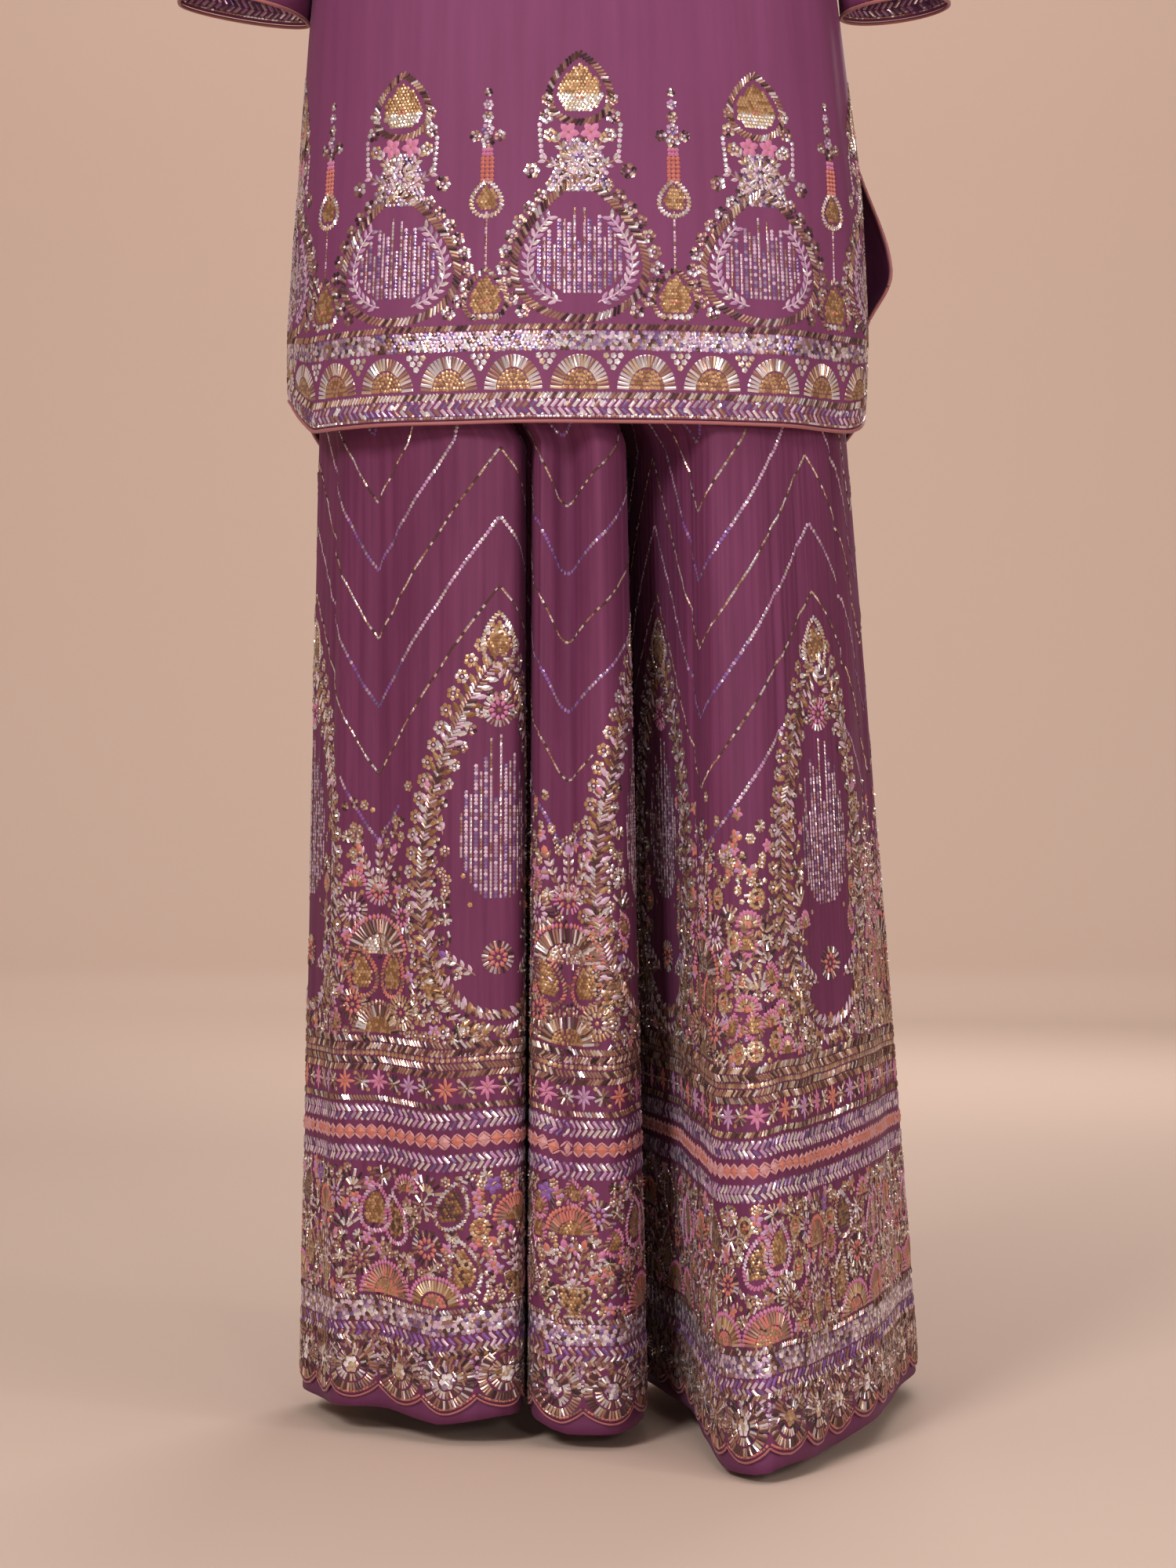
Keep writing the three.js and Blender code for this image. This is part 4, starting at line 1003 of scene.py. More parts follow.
def fan(e, u, v, radius, heart=GOLDS, rays=SILVERS, rim=None, tall=1.0):
    """A half-round fan standing on v: a heart of sequins, a ring of rays and a rim."""
    for away in np.arange(1.5, 0.56 * radius, 2.3):
        count = max(2, int(math.pi * away / 2.6))
        turn = (np.arange(count) + 0.5) * math.pi / count
        e.add("sequin", heart, u + away * np.cos(turn), v + tall * away * np.sin(turn), turn, 3.3, 3.3, 0.9)
    count = max(7, int(math.pi * radius / 2.9))
    turn = (np.arange(count) + 0.5) * math.pi / count
    place = (u + 0.79 * radius * np.cos(turn), v + 0.79 * tall * radius * np.sin(turn))
    e.add("bugle", rays, *place, turn, 0.42 * radius, 2.1, 1.1)
    if rim:
        turn = np.radians(np.linspace(0, 180, 40))
        outer = np.stack([u + (radius + 1.6) * np.cos(turn), v + (radius + 1.6) * np.sin(turn)], axis=-1)
        outer_u, outer_v, angle = along_path(outer, 3.0)
        e.add("stitch", rim, outer_u, outer_v, angle + math.pi / 2, 4.6, 2.8, 1.1)


def shell(e, u, v, width, height):
    """A scallop's shell, hanging from v: rings of ray beads round a heart of big sequins."""
    reach = 0.5 * height + 0.5
    middle = v - height + reach + 1.5
    for share, long, start, end in ((0.86, 6.4, 128, 412), (0.5, 5.4, 100, 440)):
        count = int(math.radians(end - start) * share * reach / 2.2)
        turn = np.radians(np.linspace(start, end, count))
        stretch = 0.5 * width / reach * 0.96
        angle = np.arctan2(np.sin(turn), stretch * np.cos(turn))
        place = (u + share * reach * stretch * np.cos(turn), middle + share * reach * np.sin(turn))
        e.add("bugle", ROPE if share > 0.7 else CLEAR, *place, angle, long, 1.9, 1.1)
    shine = random.choice(3, p=[0.4, 0.3, 0.3])
    tone = ("pale_gold mirror", "gold old_gold pale_gold", "silver mirror lilac_foil")[shine]
    e.rays("sequin", tone, u, middle, 4.0, circle(6), 5.0, 5.0, 1.1)
    e.add("sequin", tone, u, middle, 0, 5.0, 5.0, 1.8)


def leaf_vine(e, points, stem, leaves, pitch=5.6, size=6.4, spread=38):
    """A stem with a pair of stitched leaves at each pitch."""
    thread_line(e, points, stem)
    u, v, angle = along_path(points, pitch)
    for side in (-1, 1):
        e.rays("stitch", leaves, u, v, 0.5 * size, angle + side * math.radians(spread), size, 2.9, 0.9)


def sequin_vine(e, points, tone=LILACS):
    """A band of pairs of leaves, each a cut bead with a sequin on its tip."""
    u, v, angle = along_path(points, 4.9)
    for side in (-1, 1):
        turn = angle + side * math.radians(50)
        e.rays("bugle", tone, u, v, 2.9, turn, 5.4, 2.4, 1.0)
        e.rays("sequin", tone, u, v, 6.2, turn, 2.9, 2.9, 0.8)


def sprig(e, u, v, angle, long, leaves, bud=None):
    """A straight sprig with paired leaves and a bud on its tip."""
    turn = math.radians(angle)
    end = (u + long * math.cos(turn), v + long * math.sin(turn))
    leaf_vine(e, [(u, v), end], "tan", leaves, pitch=long / max(2, round(long / 6)))
    if bud:
        e.rays("stitch", bud, *end, 2.5, turn, 8, 5.0, 1.4)


def ric_rac(e, u0, u1, v, size):
    """A band of stitched diamonds, edged above and below with zigzag stitches."""
    count = int((u1 - u0) / size)
    pitch = (u1 - u0) / count
    u = u0 + (np.arange(count) + 0.5) * pitch
    high = 0.44 * size
    e.add("diamond", "coral coral rose", u, np.full(count, v), 0, pitch * 0.98, 2 * high, 1.4)
    slope = math.atan2(high, 0.5 * pitch)
    for side in (-1, 1):
        for way in (-1, 1):
            edge_v = np.full(count, v + side * (0.5 * high + 1.1))
            e.add("stitch", "rose", u + way * 0.25 * pitch, edge_v, -side * way * slope, 0.78 * pitch, 1.8, 1.1)


def teardrop(u, v, wide, high, lean=0.0):
    """The outline of a drop or paisley that stands on v, with its tip leaning to one side."""
    t = np.linspace(0, 2 * math.pi, 44)
    rise = 0.5 * (1 - np.cos(t))
    half = 0.5 * wide * np.sin(t) * (1 - rise) ** 0.35 * 1.36
    return np.stack([u + half + lean * rise**2.2, v + high * rise], axis=-1)


def inside(outline, u, v):
    """Which of the places lie inside an outline."""
    a, b = outline, np.roll(outline, -1, axis=0)
    crossing = np.zeros(len(u), bool)
    for (x1, y1), (x2, y2) in zip(a, b):
        hit = (y1 > v) != (y2 > v)
        crossing ^= hit & (u < (x2 - x1) * (v - y1) / (y2 - y1 + 1e-12) + x1)
    return crossing


def fill(e, outline, tone, pitch=2.8, size=3.3, foot=None):
    """Fills an outline with rows of sequins. The lowest third may be of another tone."""
    low, high = outline.min(axis=0), outline.max(axis=0)
    u, v = np.meshgrid(np.arange(low[0], high[0], pitch), np.arange(low[1], high[1], pitch * 0.87))
    u = (u + 0.5 * pitch * (np.arange(u.shape[0]) % 2)[:, None]).ravel()
    v = v.ravel()
    kept = inside(outline, u, v)
    lower = v < lerp(low[1], high[1], 0.36) if foot else np.zeros(len(v), bool)
    for here, colour, wide in ((kept & ~lower, tone, size), (kept & lower, foot, size * 1.3)):
        if here.any():
            e.add("sequin", colour, u[here], v[here], random.uniform(0, 6.28, here.sum()), wide, wide, 1.0)


def shrink(outline, share):
    middle = outline.mean(axis=0)
    return middle + (outline - middle) * share


def drop_motif(e, u, v, wide, high, lean=0.0, rim=ROPE, heart=GOLDS):
    """A drop with a rope rim and a filled heart."""
    outline = teardrop(u, v, wide, high, lean)
    rope(e, outline, rim, long=max(3.6, min(5.6, wide * 0.15)), pitch=2.6)
    fill(e, shrink(outline, 0.72), heart)


def rain(e, outline, pitch=3.5):
    """Strings of lilac beads that hang side by side within an outline."""
    low, high = outline.min(axis=0), outline.max(axis=0)
    for k, at in enumerate(np.arange(low[0] + 2, high[0] - 1, pitch)):
        reach = 0.55 + 0.42 * abs(math.sin(1.9 * k + 0.6))
        line = np.arange(low[1], lerp(low[1], high[1], reach), 2.6)
        line = line[inside(outline, np.full(len(line), at), line)]
        if len(line):
            if k % 2:
                e.add("bugle", "mauve rose_gold silver", at, line, math.pi / 2, 2.4, 1.6, 0.8)
            else:
                e.add("sequin", "lilac_foil violet_foil mauve", at, line, 0, 3.1, 3.1, 0.8)


def urn(e, u, v, size):
    """A small footed pot of sequins."""
    side = [(0.3, 0), (0.12, 0.12), (0.42, 0.35), (0.5, 0.75)]
    outline = np.array([(-x, y) for x, y in reversed(side)] + side) * size + (u, v)
    fill(e, outline, GOLDS)
    bead_line(e, np.concatenate([outline, outline[:1]]), "rose_gold silver", 2.6)


def kurta_bouquet(e, u, v, grand=1.0):
    """A standing motif: a big drop hung with beads, flowers over it, and a small gold drop on top."""
    big = teardrop(u, v + 4, 82, 98 * grand)
    rope(e, big, ROPE, 6.6, 2.9)
    wreath(e, shrink(big, 1.16)[4:-4], 3.5, CLEAR, 11.5)
    inner = shrink(big, 0.79)
    for side in (inner[2:16], inner[28:42][::-1]):
        leaf_vine(e, side, "mauve", "mauve lilac silver lilac_foil", 5.4, 7.4, 40)
    rain(e, shrink(big, 0.66))
    top = v + 103 * grand
    yoke_outline = np.array([(-21, -9), (21, -9), (17, 12), (9, 27), (-9, 27), (-17, 12)]) + (u, top)
    fill(e, yoke_outline, BAND, 3.3, 3.6)
    for side in (-1, 1):
        sprig(e, u + side * 3, top, 90 - side * 62, 27, "mauve silver lilac_foil")
        sprig(e, u + side * 3, top + 6, 90 - side * 34, 25, "mauve silver pale_gold")
        sequin_flower(e, u + side * 34, top + 4, 3.9, CLEAR)
        floweret(e, u + side * 8, top + 31, 7.5, "pink")
        sequin_flower(e, u + side * 21, top + 29, 3.4, "gold pale_gold silver")
        sequin_flower(e, u + side * 24, top + 42, 3.6, CLEAR)
        sequin_flower(e, u + side * 23, top + 54, 3.2, "rose_gold silver")
        hung = [(u + side * 27, top + 12), (u + side * 29, top + 38)]
        sequin_line(e, hung, "silver mirror mauve", 3.6, 3.6)
    rosette(e, u, top + 12, 10, LILACS, "mauve", SILVERS)
    crown = teardrop(u, top + 38, 40, 48 * grand)
    rope(e, crown, ROPE, 5.6, 2.8)
    fill(e, shrink(crown, 0.7), "gold old_gold gold", 2.7, foot="silver pale_gold pale_gold")
    e.add("bead", "coral", [u, u - 2, u + 2], [top + 58, top + 55, top + 55], 0, 2.8, 2.8, 1.8)


def sprig_column(e, u, v, high):
    """A slender stem between the bouquets, with a gold drop, knots and flowers one over another."""
    base = teardrop(u, v + 1, 27, 36)
    rope(e, base[2:-2], ROPE, 3.8, 2.6)
    fill(e, shrink(base, 0.74), "gold old_gold", 2.7)
    row = u + np.array([-8.5, -4.2, 0, 4.2, 8.5])
    e.add("sequin", "mirror pale_gold", row, v + 4.0, 0, 4.4, 4.4, 1.2)
    e.add("bead", "coral", [u - 2, u + 2], [v + 14, v + 14], 0, 3.0, 3.0, 1.8)
    bead_line(e, [(u, v + 37), (u, v + 0.46 * high)], "rose_gold mauve", 2.6)
    drop_motif(e, u, v + 0.44 * high, 19, 25, 0, "silver pale_gold", "gold old_gold")
    knots = v + np.arange(high * 0.59, high * 0.72, 3.0)
    for shift in (-3.2, 0, 3.2):
        e.add("bead", "coral", u + shift, knots[:-2], 0, 3.6, 3.6, 1.5)
        e.add("bead", "pink", u + shift * 0.8, knots[-2:], 0, 3.6, 3.6, 1.5)
    top = v + high * 0.75
    for side in (-1, 1):
        sequin_flower(e, u + side * 8.5, top + 4, 2.9, CLEAR)
    for k, size in enumerate((3.4, 3.1, 2.8, 2.5, 2.1)):
        sequin_flower(e, u, top + 8.6 * k, size, LILACS if k % 2 else CLEAR)


def kurta_border(e, half):
    """The border round a kurta panel's hem, from the hem up."""
    ends = (-half, half)
    level = level_from(ends)
    bead_line(e, level(1.6), "rose_gold silver", 2.7)
    sequin_vine(e, level(7.8), "lilac_foil mauve silver rose_gold violet_foil")
    # Mirror sequins strewn at random over the vine: their near-white tone is partly a painted glint.
    e.add("sequin", "mirror", random.uniform(-half, half, 30), random.uniform(4, 12, 30), 0, 4.4, 4.4, 1.4)
    rope(e, level(16.0), "silver rose_gold silver pale_gold brown", 5.4)
    pitch = 46.0
    count = int(half / pitch)
    for k in range(-count, count + 1):
        rays = "silver silver pale_gold rose_gold"
        fan(e, k * pitch, 20.0, 20.5, "gold old_gold gold", rays, tall=1.24)
        for dot_u, dot_v in ((-2.6, 39.5), (2.6, 39.5), (0, 35.5), (-5, 43.6), (0, 43.6), (5, 43.6)):
            e.add("sequin", "silver mirror pale_gold", (k + 0.5) * pitch + dot_u, dot_v, 0, 4.6, 4.6, 1.2)
    sequin_field(e, ends[0], ends[1], 47.5, 60.5, BAND, 3.1, 4.0)
    # More mirror sequins strewn at random over the sequin field: partly painted glints.
    shine_u, shine_v = random.uniform(-half, half, 70), random.uniform(49, 59, 70)
    e.add("sequin", "mirror silver", shine_u, shine_v, 0, 4.8, 4.8, 1.5)
    rope(e, level(63.5), ROPE, 4.6)


def slit_border(e, half, side, top):
    """The border that climbs a slit edge."""
    edge = side * (half - 4)
    bead_line(e, [(edge, 20), (edge, top)], "rose_gold silver", 2.7)
    sequin_vine(e, [(edge - side * 8, 66), (edge - side * 8, top - 6)])
    rope(e, [(edge - side * 16, 66), (edge - side * 16, top - 8)], ROPE, 4.6)


BOUQUET_PITCH = 131.0
SLIT_BORDER_TOP = 262


def kurta_embroidery(half):
    e = Embroidery()
    kurta_border(e, half)
    for k in range(-2, 3):
        motif = Embroidery()
        kurta_bouquet(motif, 0, 65, 1.0 if k == 0 else 0.93)
        e.take(motif, lambda u, v, k=k: u + k * BOUQUET_PITCH)
    for k in (-3, -1, 1, 3):
        sprig_column(e, k * BOUQUET_PITCH / 2, 67, 168)
    for side in (-1, 1):
        slit_border(e, half, side, SLIT_BORDER_TOP)
    return e


def sleeve_embroidery(girth):
    e = Embroidery()
    ends = (0.5, girth - 0.5)
    level = level_from(ends)
    bead_line(e, level(2.6), "rose_gold silver", 2.7)
    sequin_vine(e, level(8.5))
    rope(e, level(17.0), ROPE, 5.4)
    count = int(round(girth / 32))
    for k in range(count):
        u = (k + 0.5) * girth / count
        fan(e, u, 20.5, 13.5, "gold old_gold gold")
        sequin_flower(e, (k + 1) * girth / count - 0.5, 29, 3.0, CLEAR)
        drop_motif(e, u, 50, 17, 28, 0, ROPE, GOLDS)
        sprig(e, u + 0.5 * girth / count, 50, 90, 24, "mauve silver", "pink")
    sequin_field(e, ends[0], ends[1], 36.5, 44.5, LILACS, 2.8)
    rope(e, level(47.5), ROPE, 4.8)
    return e


# The palazzo's bands, as heights above the scallops' tips
SHELL_TOP = 41
LEAF_BAND = 47
SEQUIN_BAND = (54, 68)
GARDEN = (72, 166)
VINE_LOW, DIAMONDS, VINE_HIGH = 174, 189, 203
ROPE_LOW = 213
STARS = 225
BRAIDS = (238, 253)
TREES = 258
CHEVRON_LOW, CHEVRON_HIGH = 395, 700
CHEVRON_STEP, CHEVRON_RISE = 48, 132

# Where the chevrons peak (1) and dip (0) round a leg, by place in the fold table
CHEVRON_TURNS = {
    "left": ((0, 0.6, 4.0, 7.4, 10, 12.7, 15.2, 17.6, 20, 22.2, 24), (0.85, 1, 0, 1, 0, 1, 0, 1, 0, 1, 0)),
    "right": ((0, 1.8, 3.4, 7.4, 10.4, 12.8, 15.4, 17.6, 20), (0.1, 1, 0, 1, 0, 1, 0, 1, 0.1)),
}


# Where the trees stand
TREE_PLACES = {"left": (1.8, 7.4, 12.7, 17.6, 22.2), "right": (1.8, 7.4, 12.8, 17.6)}


def hem_bands(e, leg):
    ends = (1.0, leg.girth - 1.0)
    level = level_from(ends)
    for a, b in zip(leg.scallop_edges, leg.scallop_edges[1:]):
        shell(e, (a + b) / 2, SHELL_TOP - 2, b - a, SHELL_TOP - 3.5)
        u = np.linspace(a + 1, b - 1, 30)
        bead_line(e, np.stack([u, leg.arch(u) + 2.6], axis=-1), "rose_gold coral", 2.6)
        sequin_flower(e, a, 26, 3.2, LILACS)
        e.add("sequin", LILACS, [a, a - 4, a + 4, a - 3, a + 3], [36, 34, 34, 18, 18], 0, 3.6, 3.6, 0.9)
    pepper(e, leg, 17, SHELL_TOP - 2, lambda v: 0.75 * smooth((v - 14) / 12))
    rope(e, level(SHELL_TOP + 0.5), ROPE, 4.6)
    sequin_vine(e, level(LEAF_BAND), "violet_foil mauve rose_gold violet silver")
    sequin_field(e, *ends, *SEQUIN_BAND, BAND, 3.2, 4.2)
    # Mirror sequins strewn at random over the sequin band: partly painted glints.
    count = int(leg.girth / 7)
    shine_v = random.uniform(SEQUIN_BAND[0] + 2, SEQUIN_BAND[1] - 1, count)
    e.add("sequin", "mirror mirror silver", random.uniform(*ends, count), shine_v, 0, 4.8, 4.8, 1.5)
    rope(e, level(SEQUIN_BAND[1] + 2.4), "rose_gold silver brown", 3.8)
    for v in (VINE_LOW, VINE_HIGH):
        sequin_vine(e, level(v), "lilac_foil mauve silver silver violet_foil lilac")
    ric_rac(e, *ends, DIAMONDS, 9.4)
    rope(e, level(ROPE_LOW), ROPE, 4.6)
    count = int(leg.girth / 30)
    for k in range(count):
        u = (k + 0.5) * leg.girth / count
        star_flower(e, u, STARS, 9.4, ("pink", "coral", "lilac")[k % 3])
        burst(e, u + 0.5 * leg.girth / count, STARS, 7.0)
        e.add("sequin", "gold pale_gold", u + 9.5, STARS - 6, 0, 3.4, 3.4, 0.9)
        e.add("sequin", "gold pale_gold", u - 9.5, STARS + 6, 0, 3.4, 3.4, 0.9)
    for v in BRAIDS:
        for side in (-1, 1):
            rope(e, level(v + side * 2.6), ROPE, 5.4, 2.8, side * 52, 1.9)
    sequin_line(e, level(sum(BRAIDS) / 2), "rose_gold pale_gold gold", 4.0, 4.0)
    sequin_line(e, level(sum(BRAIDS) / 2 + 3.4), "brown mauve", 4.0, 3.0)


def garden_band(e, leg):
    """The crowded band of fans, pots, drops and flowers."""
    low = GARDEN[0]
    count = int(leg.girth / 58)
    pitch = leg.girth / count
    for k in range(count):
        u = (k + 0.5) * pitch
        if k % 3 == 0:
            fan(e, u - 8, low + 2, 21, "coral tan gold", "coral rose_gold tan", "pink")
            rosette(e, u + 15, low + 26, 11, "gold old_gold", "tan", CLEAR)
            drop_motif(e, u + 2, low + 46, 24, 34, 0, "pink mauve", "old_gold gold")
            drop_motif(e, u - 18, low + 40, 20, 34, 5, "pink mauve", "old_gold brown gold")
            burst(e, u - 4, low + 86, 8)
        elif k % 3 == 1:
            urn(e, u, low + 2, 26)
            for lean, tone in ((-40, "pink"), (-14, "coral"), (14, "pink"), (40, "coral")):
                sprig(e, u, low + 20, 90 - lean, 30, "rose_gold silver mauve", tone)
            fan(e, u + 2, low + 58, 17, "gold old_gold", "coral tan rose_gold", "coral")
            rosette(e, u - 19, low + 72, 10, "gold", "lilac", CLEAR)
            floweret(e, u + 22, low + 84, 7, "violet")
        else:
            fan(e, u + 6, low + 2, 19, "coral tan", "gold old_gold pale_gold", "pink")
            drop_motif(e, u - 18, low + 8, 20, 40, 6, "silver rose_gold", GOLDS)
            rosette(e, u + 12, low + 42, 12, "old_gold gold", "coral", CLEAR)
            drop_motif(e, u - 6, low + 56, 22, 32, -5, "rose_gold silver", "brown old_gold")
            burst(e, u + 16, low + 72, 9, "silver rose_gold")


def garland(e, outline):
    """A thick garland along an outline: two ropes with leaves and flowers beside them."""
    rope(e, shrink(outline, 0.97), "rose_gold silver mauve brown rose_gold", 5.6, 2.9)
    rope(e, shrink(outline, 1.04), "rose_gold pale_gold rose_gold brown silver", 5.0, 2.9, -52)
    u, v, angle = along_path(outline, 7.4)
    for side in (-1, 1):
        e.rays("stitch", "gold mauve rose_gold silver old_gold", u, v, 7.0, angle + side, 9.5, 4.0, 1.2)
    wreath(e, shrink(outline, 1.19)[3:-3], 3.5, "gold pale_gold silver", 13)
    wreath(e, shrink(outline, 0.84)[3:-3], 3.0, CLEAR, 14)


def tree(e, v, high):
    """A tall drop-shaped garland with hung beads, a flower and a gold finial."""
    outline = teardrop(0, v + 12, 104, high - 34)
    garland(e, outline)
    hung = teardrop(0, v + 0.34 * high, 50, 0.42 * high)
    rain(e, hung)
    dots = v + high * np.array([0.33, 0.33, 0.4, 0.4])
    e.add("sequin", "gold pale_gold", [-20, 20, -25, 25], dots, 0, 4, 4, 1)
    for side in (-1, 1):
        drop_motif(e, side * 47, v + 0.08 * high, 22, 34, side * 5, ROPE, GOLDS)
        sprig(e, side * 40, v + 0.5 * high, 90 - side * 20, 34, "gold rose_gold mauve", "pink")
        sprig(e, side * 16, v + 0.16 * high, 90 - side * 58, 26, "silver mauve", "violet")
    rosette(e, 0, v + 0.2 * high, 11, "gold", "coral", CLEAR)
    rosette(e, 0, v + 0.8 * high, 11, "old_gold gold", "pink", "rose_gold pink silver")
    drop_motif(e, 0, v + high - 26, 21, 36, 0, "pale_gold silver", "old_gold gold")


def bouquet(e, v, high):
    """A bunch of big flowers that stands between two trees."""
    fan(e, 0, v + 2, 20, "gold old_gold", CLEAR, "rose_gold")
    rosette(e, -22, v + 18, 12, "gold coral", "pale_gold", "gold pale_gold")
    rosette(e, 22, v + 22, 11, "gold", "coral", CLEAR)
    for side in (-1, 1):
        drop_motif(e, side * 13, v + 28, 20, 36, side * 4, "coral rose_gold", "old_gold gold")
    heart, rays = "rose_gold pale_gold silver", "brown rose_gold silver"
    fan(e, 0, v + 0.52 * high, 25, heart, rays, "coral pink")
    rosette(e, -24, v + 0.76 * high, 11, "silver gold", "pink", CLEAR)
    rosette(e, 22, v + 0.8 * high, 12, LILACS, "mauve", CLEAR)
    rosette(e, 0, v + 0.92 * high, 10, "gold", "coral", "pink silver")
    for lean, tone in ((-26, "pink"), (0, "lilac"), (26, "coral")):
        sprig(e, 0, v + 0.9 * high, 90 - lean, 34, "rose_gold mauve silver", tone)


def sew_chevrons(e, leg, taken):
    """Zigzag lines round the upper leg, in sequins and cut beads by turns."""
    sheet = leg.sheet
    row = int(np.searchsorted(sheet.v, FOLD_TOP - PALAZZO_HEM))
    run = np.arange(0, leg.arcs[row, -1], 1.5)
    u = np.interp(run, leg.arcs[row], sheet.u)
    turns, waves = CHEVRON_TURNS[leg.leg]
    wave = np.interp(run, np.interp(leg.u_at(np.array(turns)), sheet.u, leg.arcs[row]), waves)
    for k, base in enumerate(np.arange(CHEVRON_LOW, CHEVRON_HIGH, CHEVRON_STEP)):
        place_u, place_v, angle = along_cloth(sheet, u, base + CHEVRON_RISE * wave, 3.0)
        kept = (place_v < CHEVRON_HIGH) & ~taken(place_u, place_v)
        place_u, place_v, angle = place_u[kept], place_v[kept], angle[kept]
        if k % 2:
            e.add("bugle", "rose_gold pale_gold brown silver", place_u, place_v, angle, 2.7, 1.7, 0.9)
            continue
        # Sequins near the dips, which lie in the folds' creases, are darker violet: painted shade.
        dip = np.interp(place_u, u, wave) + random.normal(0, 0.06, len(place_u)) < 0.3
        low_tone, high_tone = "violet_foil violet lilac_foil", "lilac_foil mauve lilac silver"
        for here, tone in ((dip, low_tone), (~dip, high_tone)):
            e.add("sequin", tone, place_u[here], place_v[here], angle[here], 3.1, 3.1, 0.8)


def coin(e, u, v):
    """A round of pale sequins with coral beads at its heart."""
    for away, count, tone in ((3.0, 7, GOLDS), (6.2, 13, "pale_gold gold")):
        e.rays("sequin", tone, u, v, away, circle(count), 3.6, 3.6, 1.1)
    e.add("bead", "coral", [u - 1.3, u + 1.3, u], [v - 0.8, v - 0.8, v + 1.4], 0, 2.6, 2.6, 1.8)


def spray(e, u, v, long):
    """Cut beads that fan out on one side of their foot."""
    turn = random.uniform(0.9, 2.3) + np.radians([-64, -38, -13, 13, 38, 64])
    for share in (0.36, 0.82):
        e.rays("bugle", CLEAR, u, v, share * long, turn, 0.44 * long, 2.2, 1.1)


def place_small(e, u, v):
    choice = random.integers(6)
    if choice < 2:
        sequin_flower(e, u, v, 2.7, "gold pale_gold rose_gold")
    elif choice == 2:
        floweret(e, u, v, 5.0, "pink coral lilac tan")
    elif choice == 3:
        sequin_flower(e, u, v, 2.6, CLEAR, "gold")
    elif choice == 4:
        burst(e, u, v, 5.0, CLEAR)
    else:
        e.add("sequin", "gold pale_gold", u, v, 0, 4.2, 4.2, 1.0)


def place_big(e, u, v):
    choice = random.integers(7)
    if choice < 2:
        coin(e, u, v)
    elif choice < 4:
        spray(e, u, v - 6, 13)
    elif choice == 4:
        fan(e, u, v - 5, 9, "coral old_gold", "gold rose_gold pale_gold", "pink")
    elif choice == 5:
        drop_motif(e, u, v - 8, 13, 18, random.uniform(-5, 5), "pink rose_gold", "old_gold gold")
    else:
        sequin_flower(e, u, v, 4.0, CLEAR, "gold")


def scatter(e, leg, v0, v1, spacing, density, place=place_small, closed=None):
    """Fills what is left free between the motifs with flowers, more thickly lower down."""
    used = e.used()
    cell = 2.5
    shape = (int(leg.girth / cell) + 3, int(v1 / cell) + 8)
    busy = np.zeros(shape, bool)
    used = used[(used[:, 1] > 0) & (used[:, 1] < v1 + 10)]
    index = np.clip((used / cell).astype(int), 0, np.array(shape) - 1)
    busy[index[:, 0], index[:, 1]] = True
    reach = int(round(spacing / cell))
    for _ in range(int(leg.girth * (v1 - v0) / 16)):
        u, v = random.uniform(6, leg.girth - 6), random.uniform(v0, v1)
        if random.uniform() > density(v) * leg.share_at(u):
            continue
        if closed and closed(np.array([u]), np.array([v]))[0]:
            continue
        i, j = int(u / cell), int(v / cell)
        if busy[max(0, i - reach): i + reach + 1, max(0, j - reach): j + reach + 1].any():
            continue
        busy[i - reach + 1: i + reach, j - reach + 1: j + reach] = True
        place(e, u, v)


PEPPER_PITCH = 3.1


def pepper(e, leg, v0, v1, share, closed=None):
    """Fills the ground that is still bare with single beads and sequins."""
    pitch = PEPPER_PITCH
    used = e.used()
    cells = {(int(a / pitch), int(b / pitch)) for a, b in used[(used[:, 1] > v0 - 5) & (used[:, 1] < v1 + 5)]}
    u, v = np.meshgrid(np.arange(2, leg.girth - 2, pitch), np.arange(v0, v1, pitch))
    u, v = u.ravel(), v.ravel()
    bare = np.array([(int(a / pitch), int(b / pitch)) not in cells for a, b in zip(u, v)])
    kept = bare & (random.uniform(0, 1, len(u)) < share(v) * leg.share_at(u))
    if closed:
        kept &= ~closed(u, v)
    u, v = u[kept] + random.normal(0, 0.5, kept.sum()), v[kept] + random.normal(0, 0.5, kept.sum())
    turn = 1.1 * np.sin(u / 17) + 1.6 * np.sin(v / 13 + u / 31)
    round_ones = random.uniform(0, 1, len(u)) < 0.3
    for here, kind, long, wide in ((~round_ones, "bugle", 4.8, 1.9), (round_ones, "sequin", 3.6, 3.6)):
        e.add(kind, GROUND, u[here], v[here], turn[here], long, wide, 1.0)


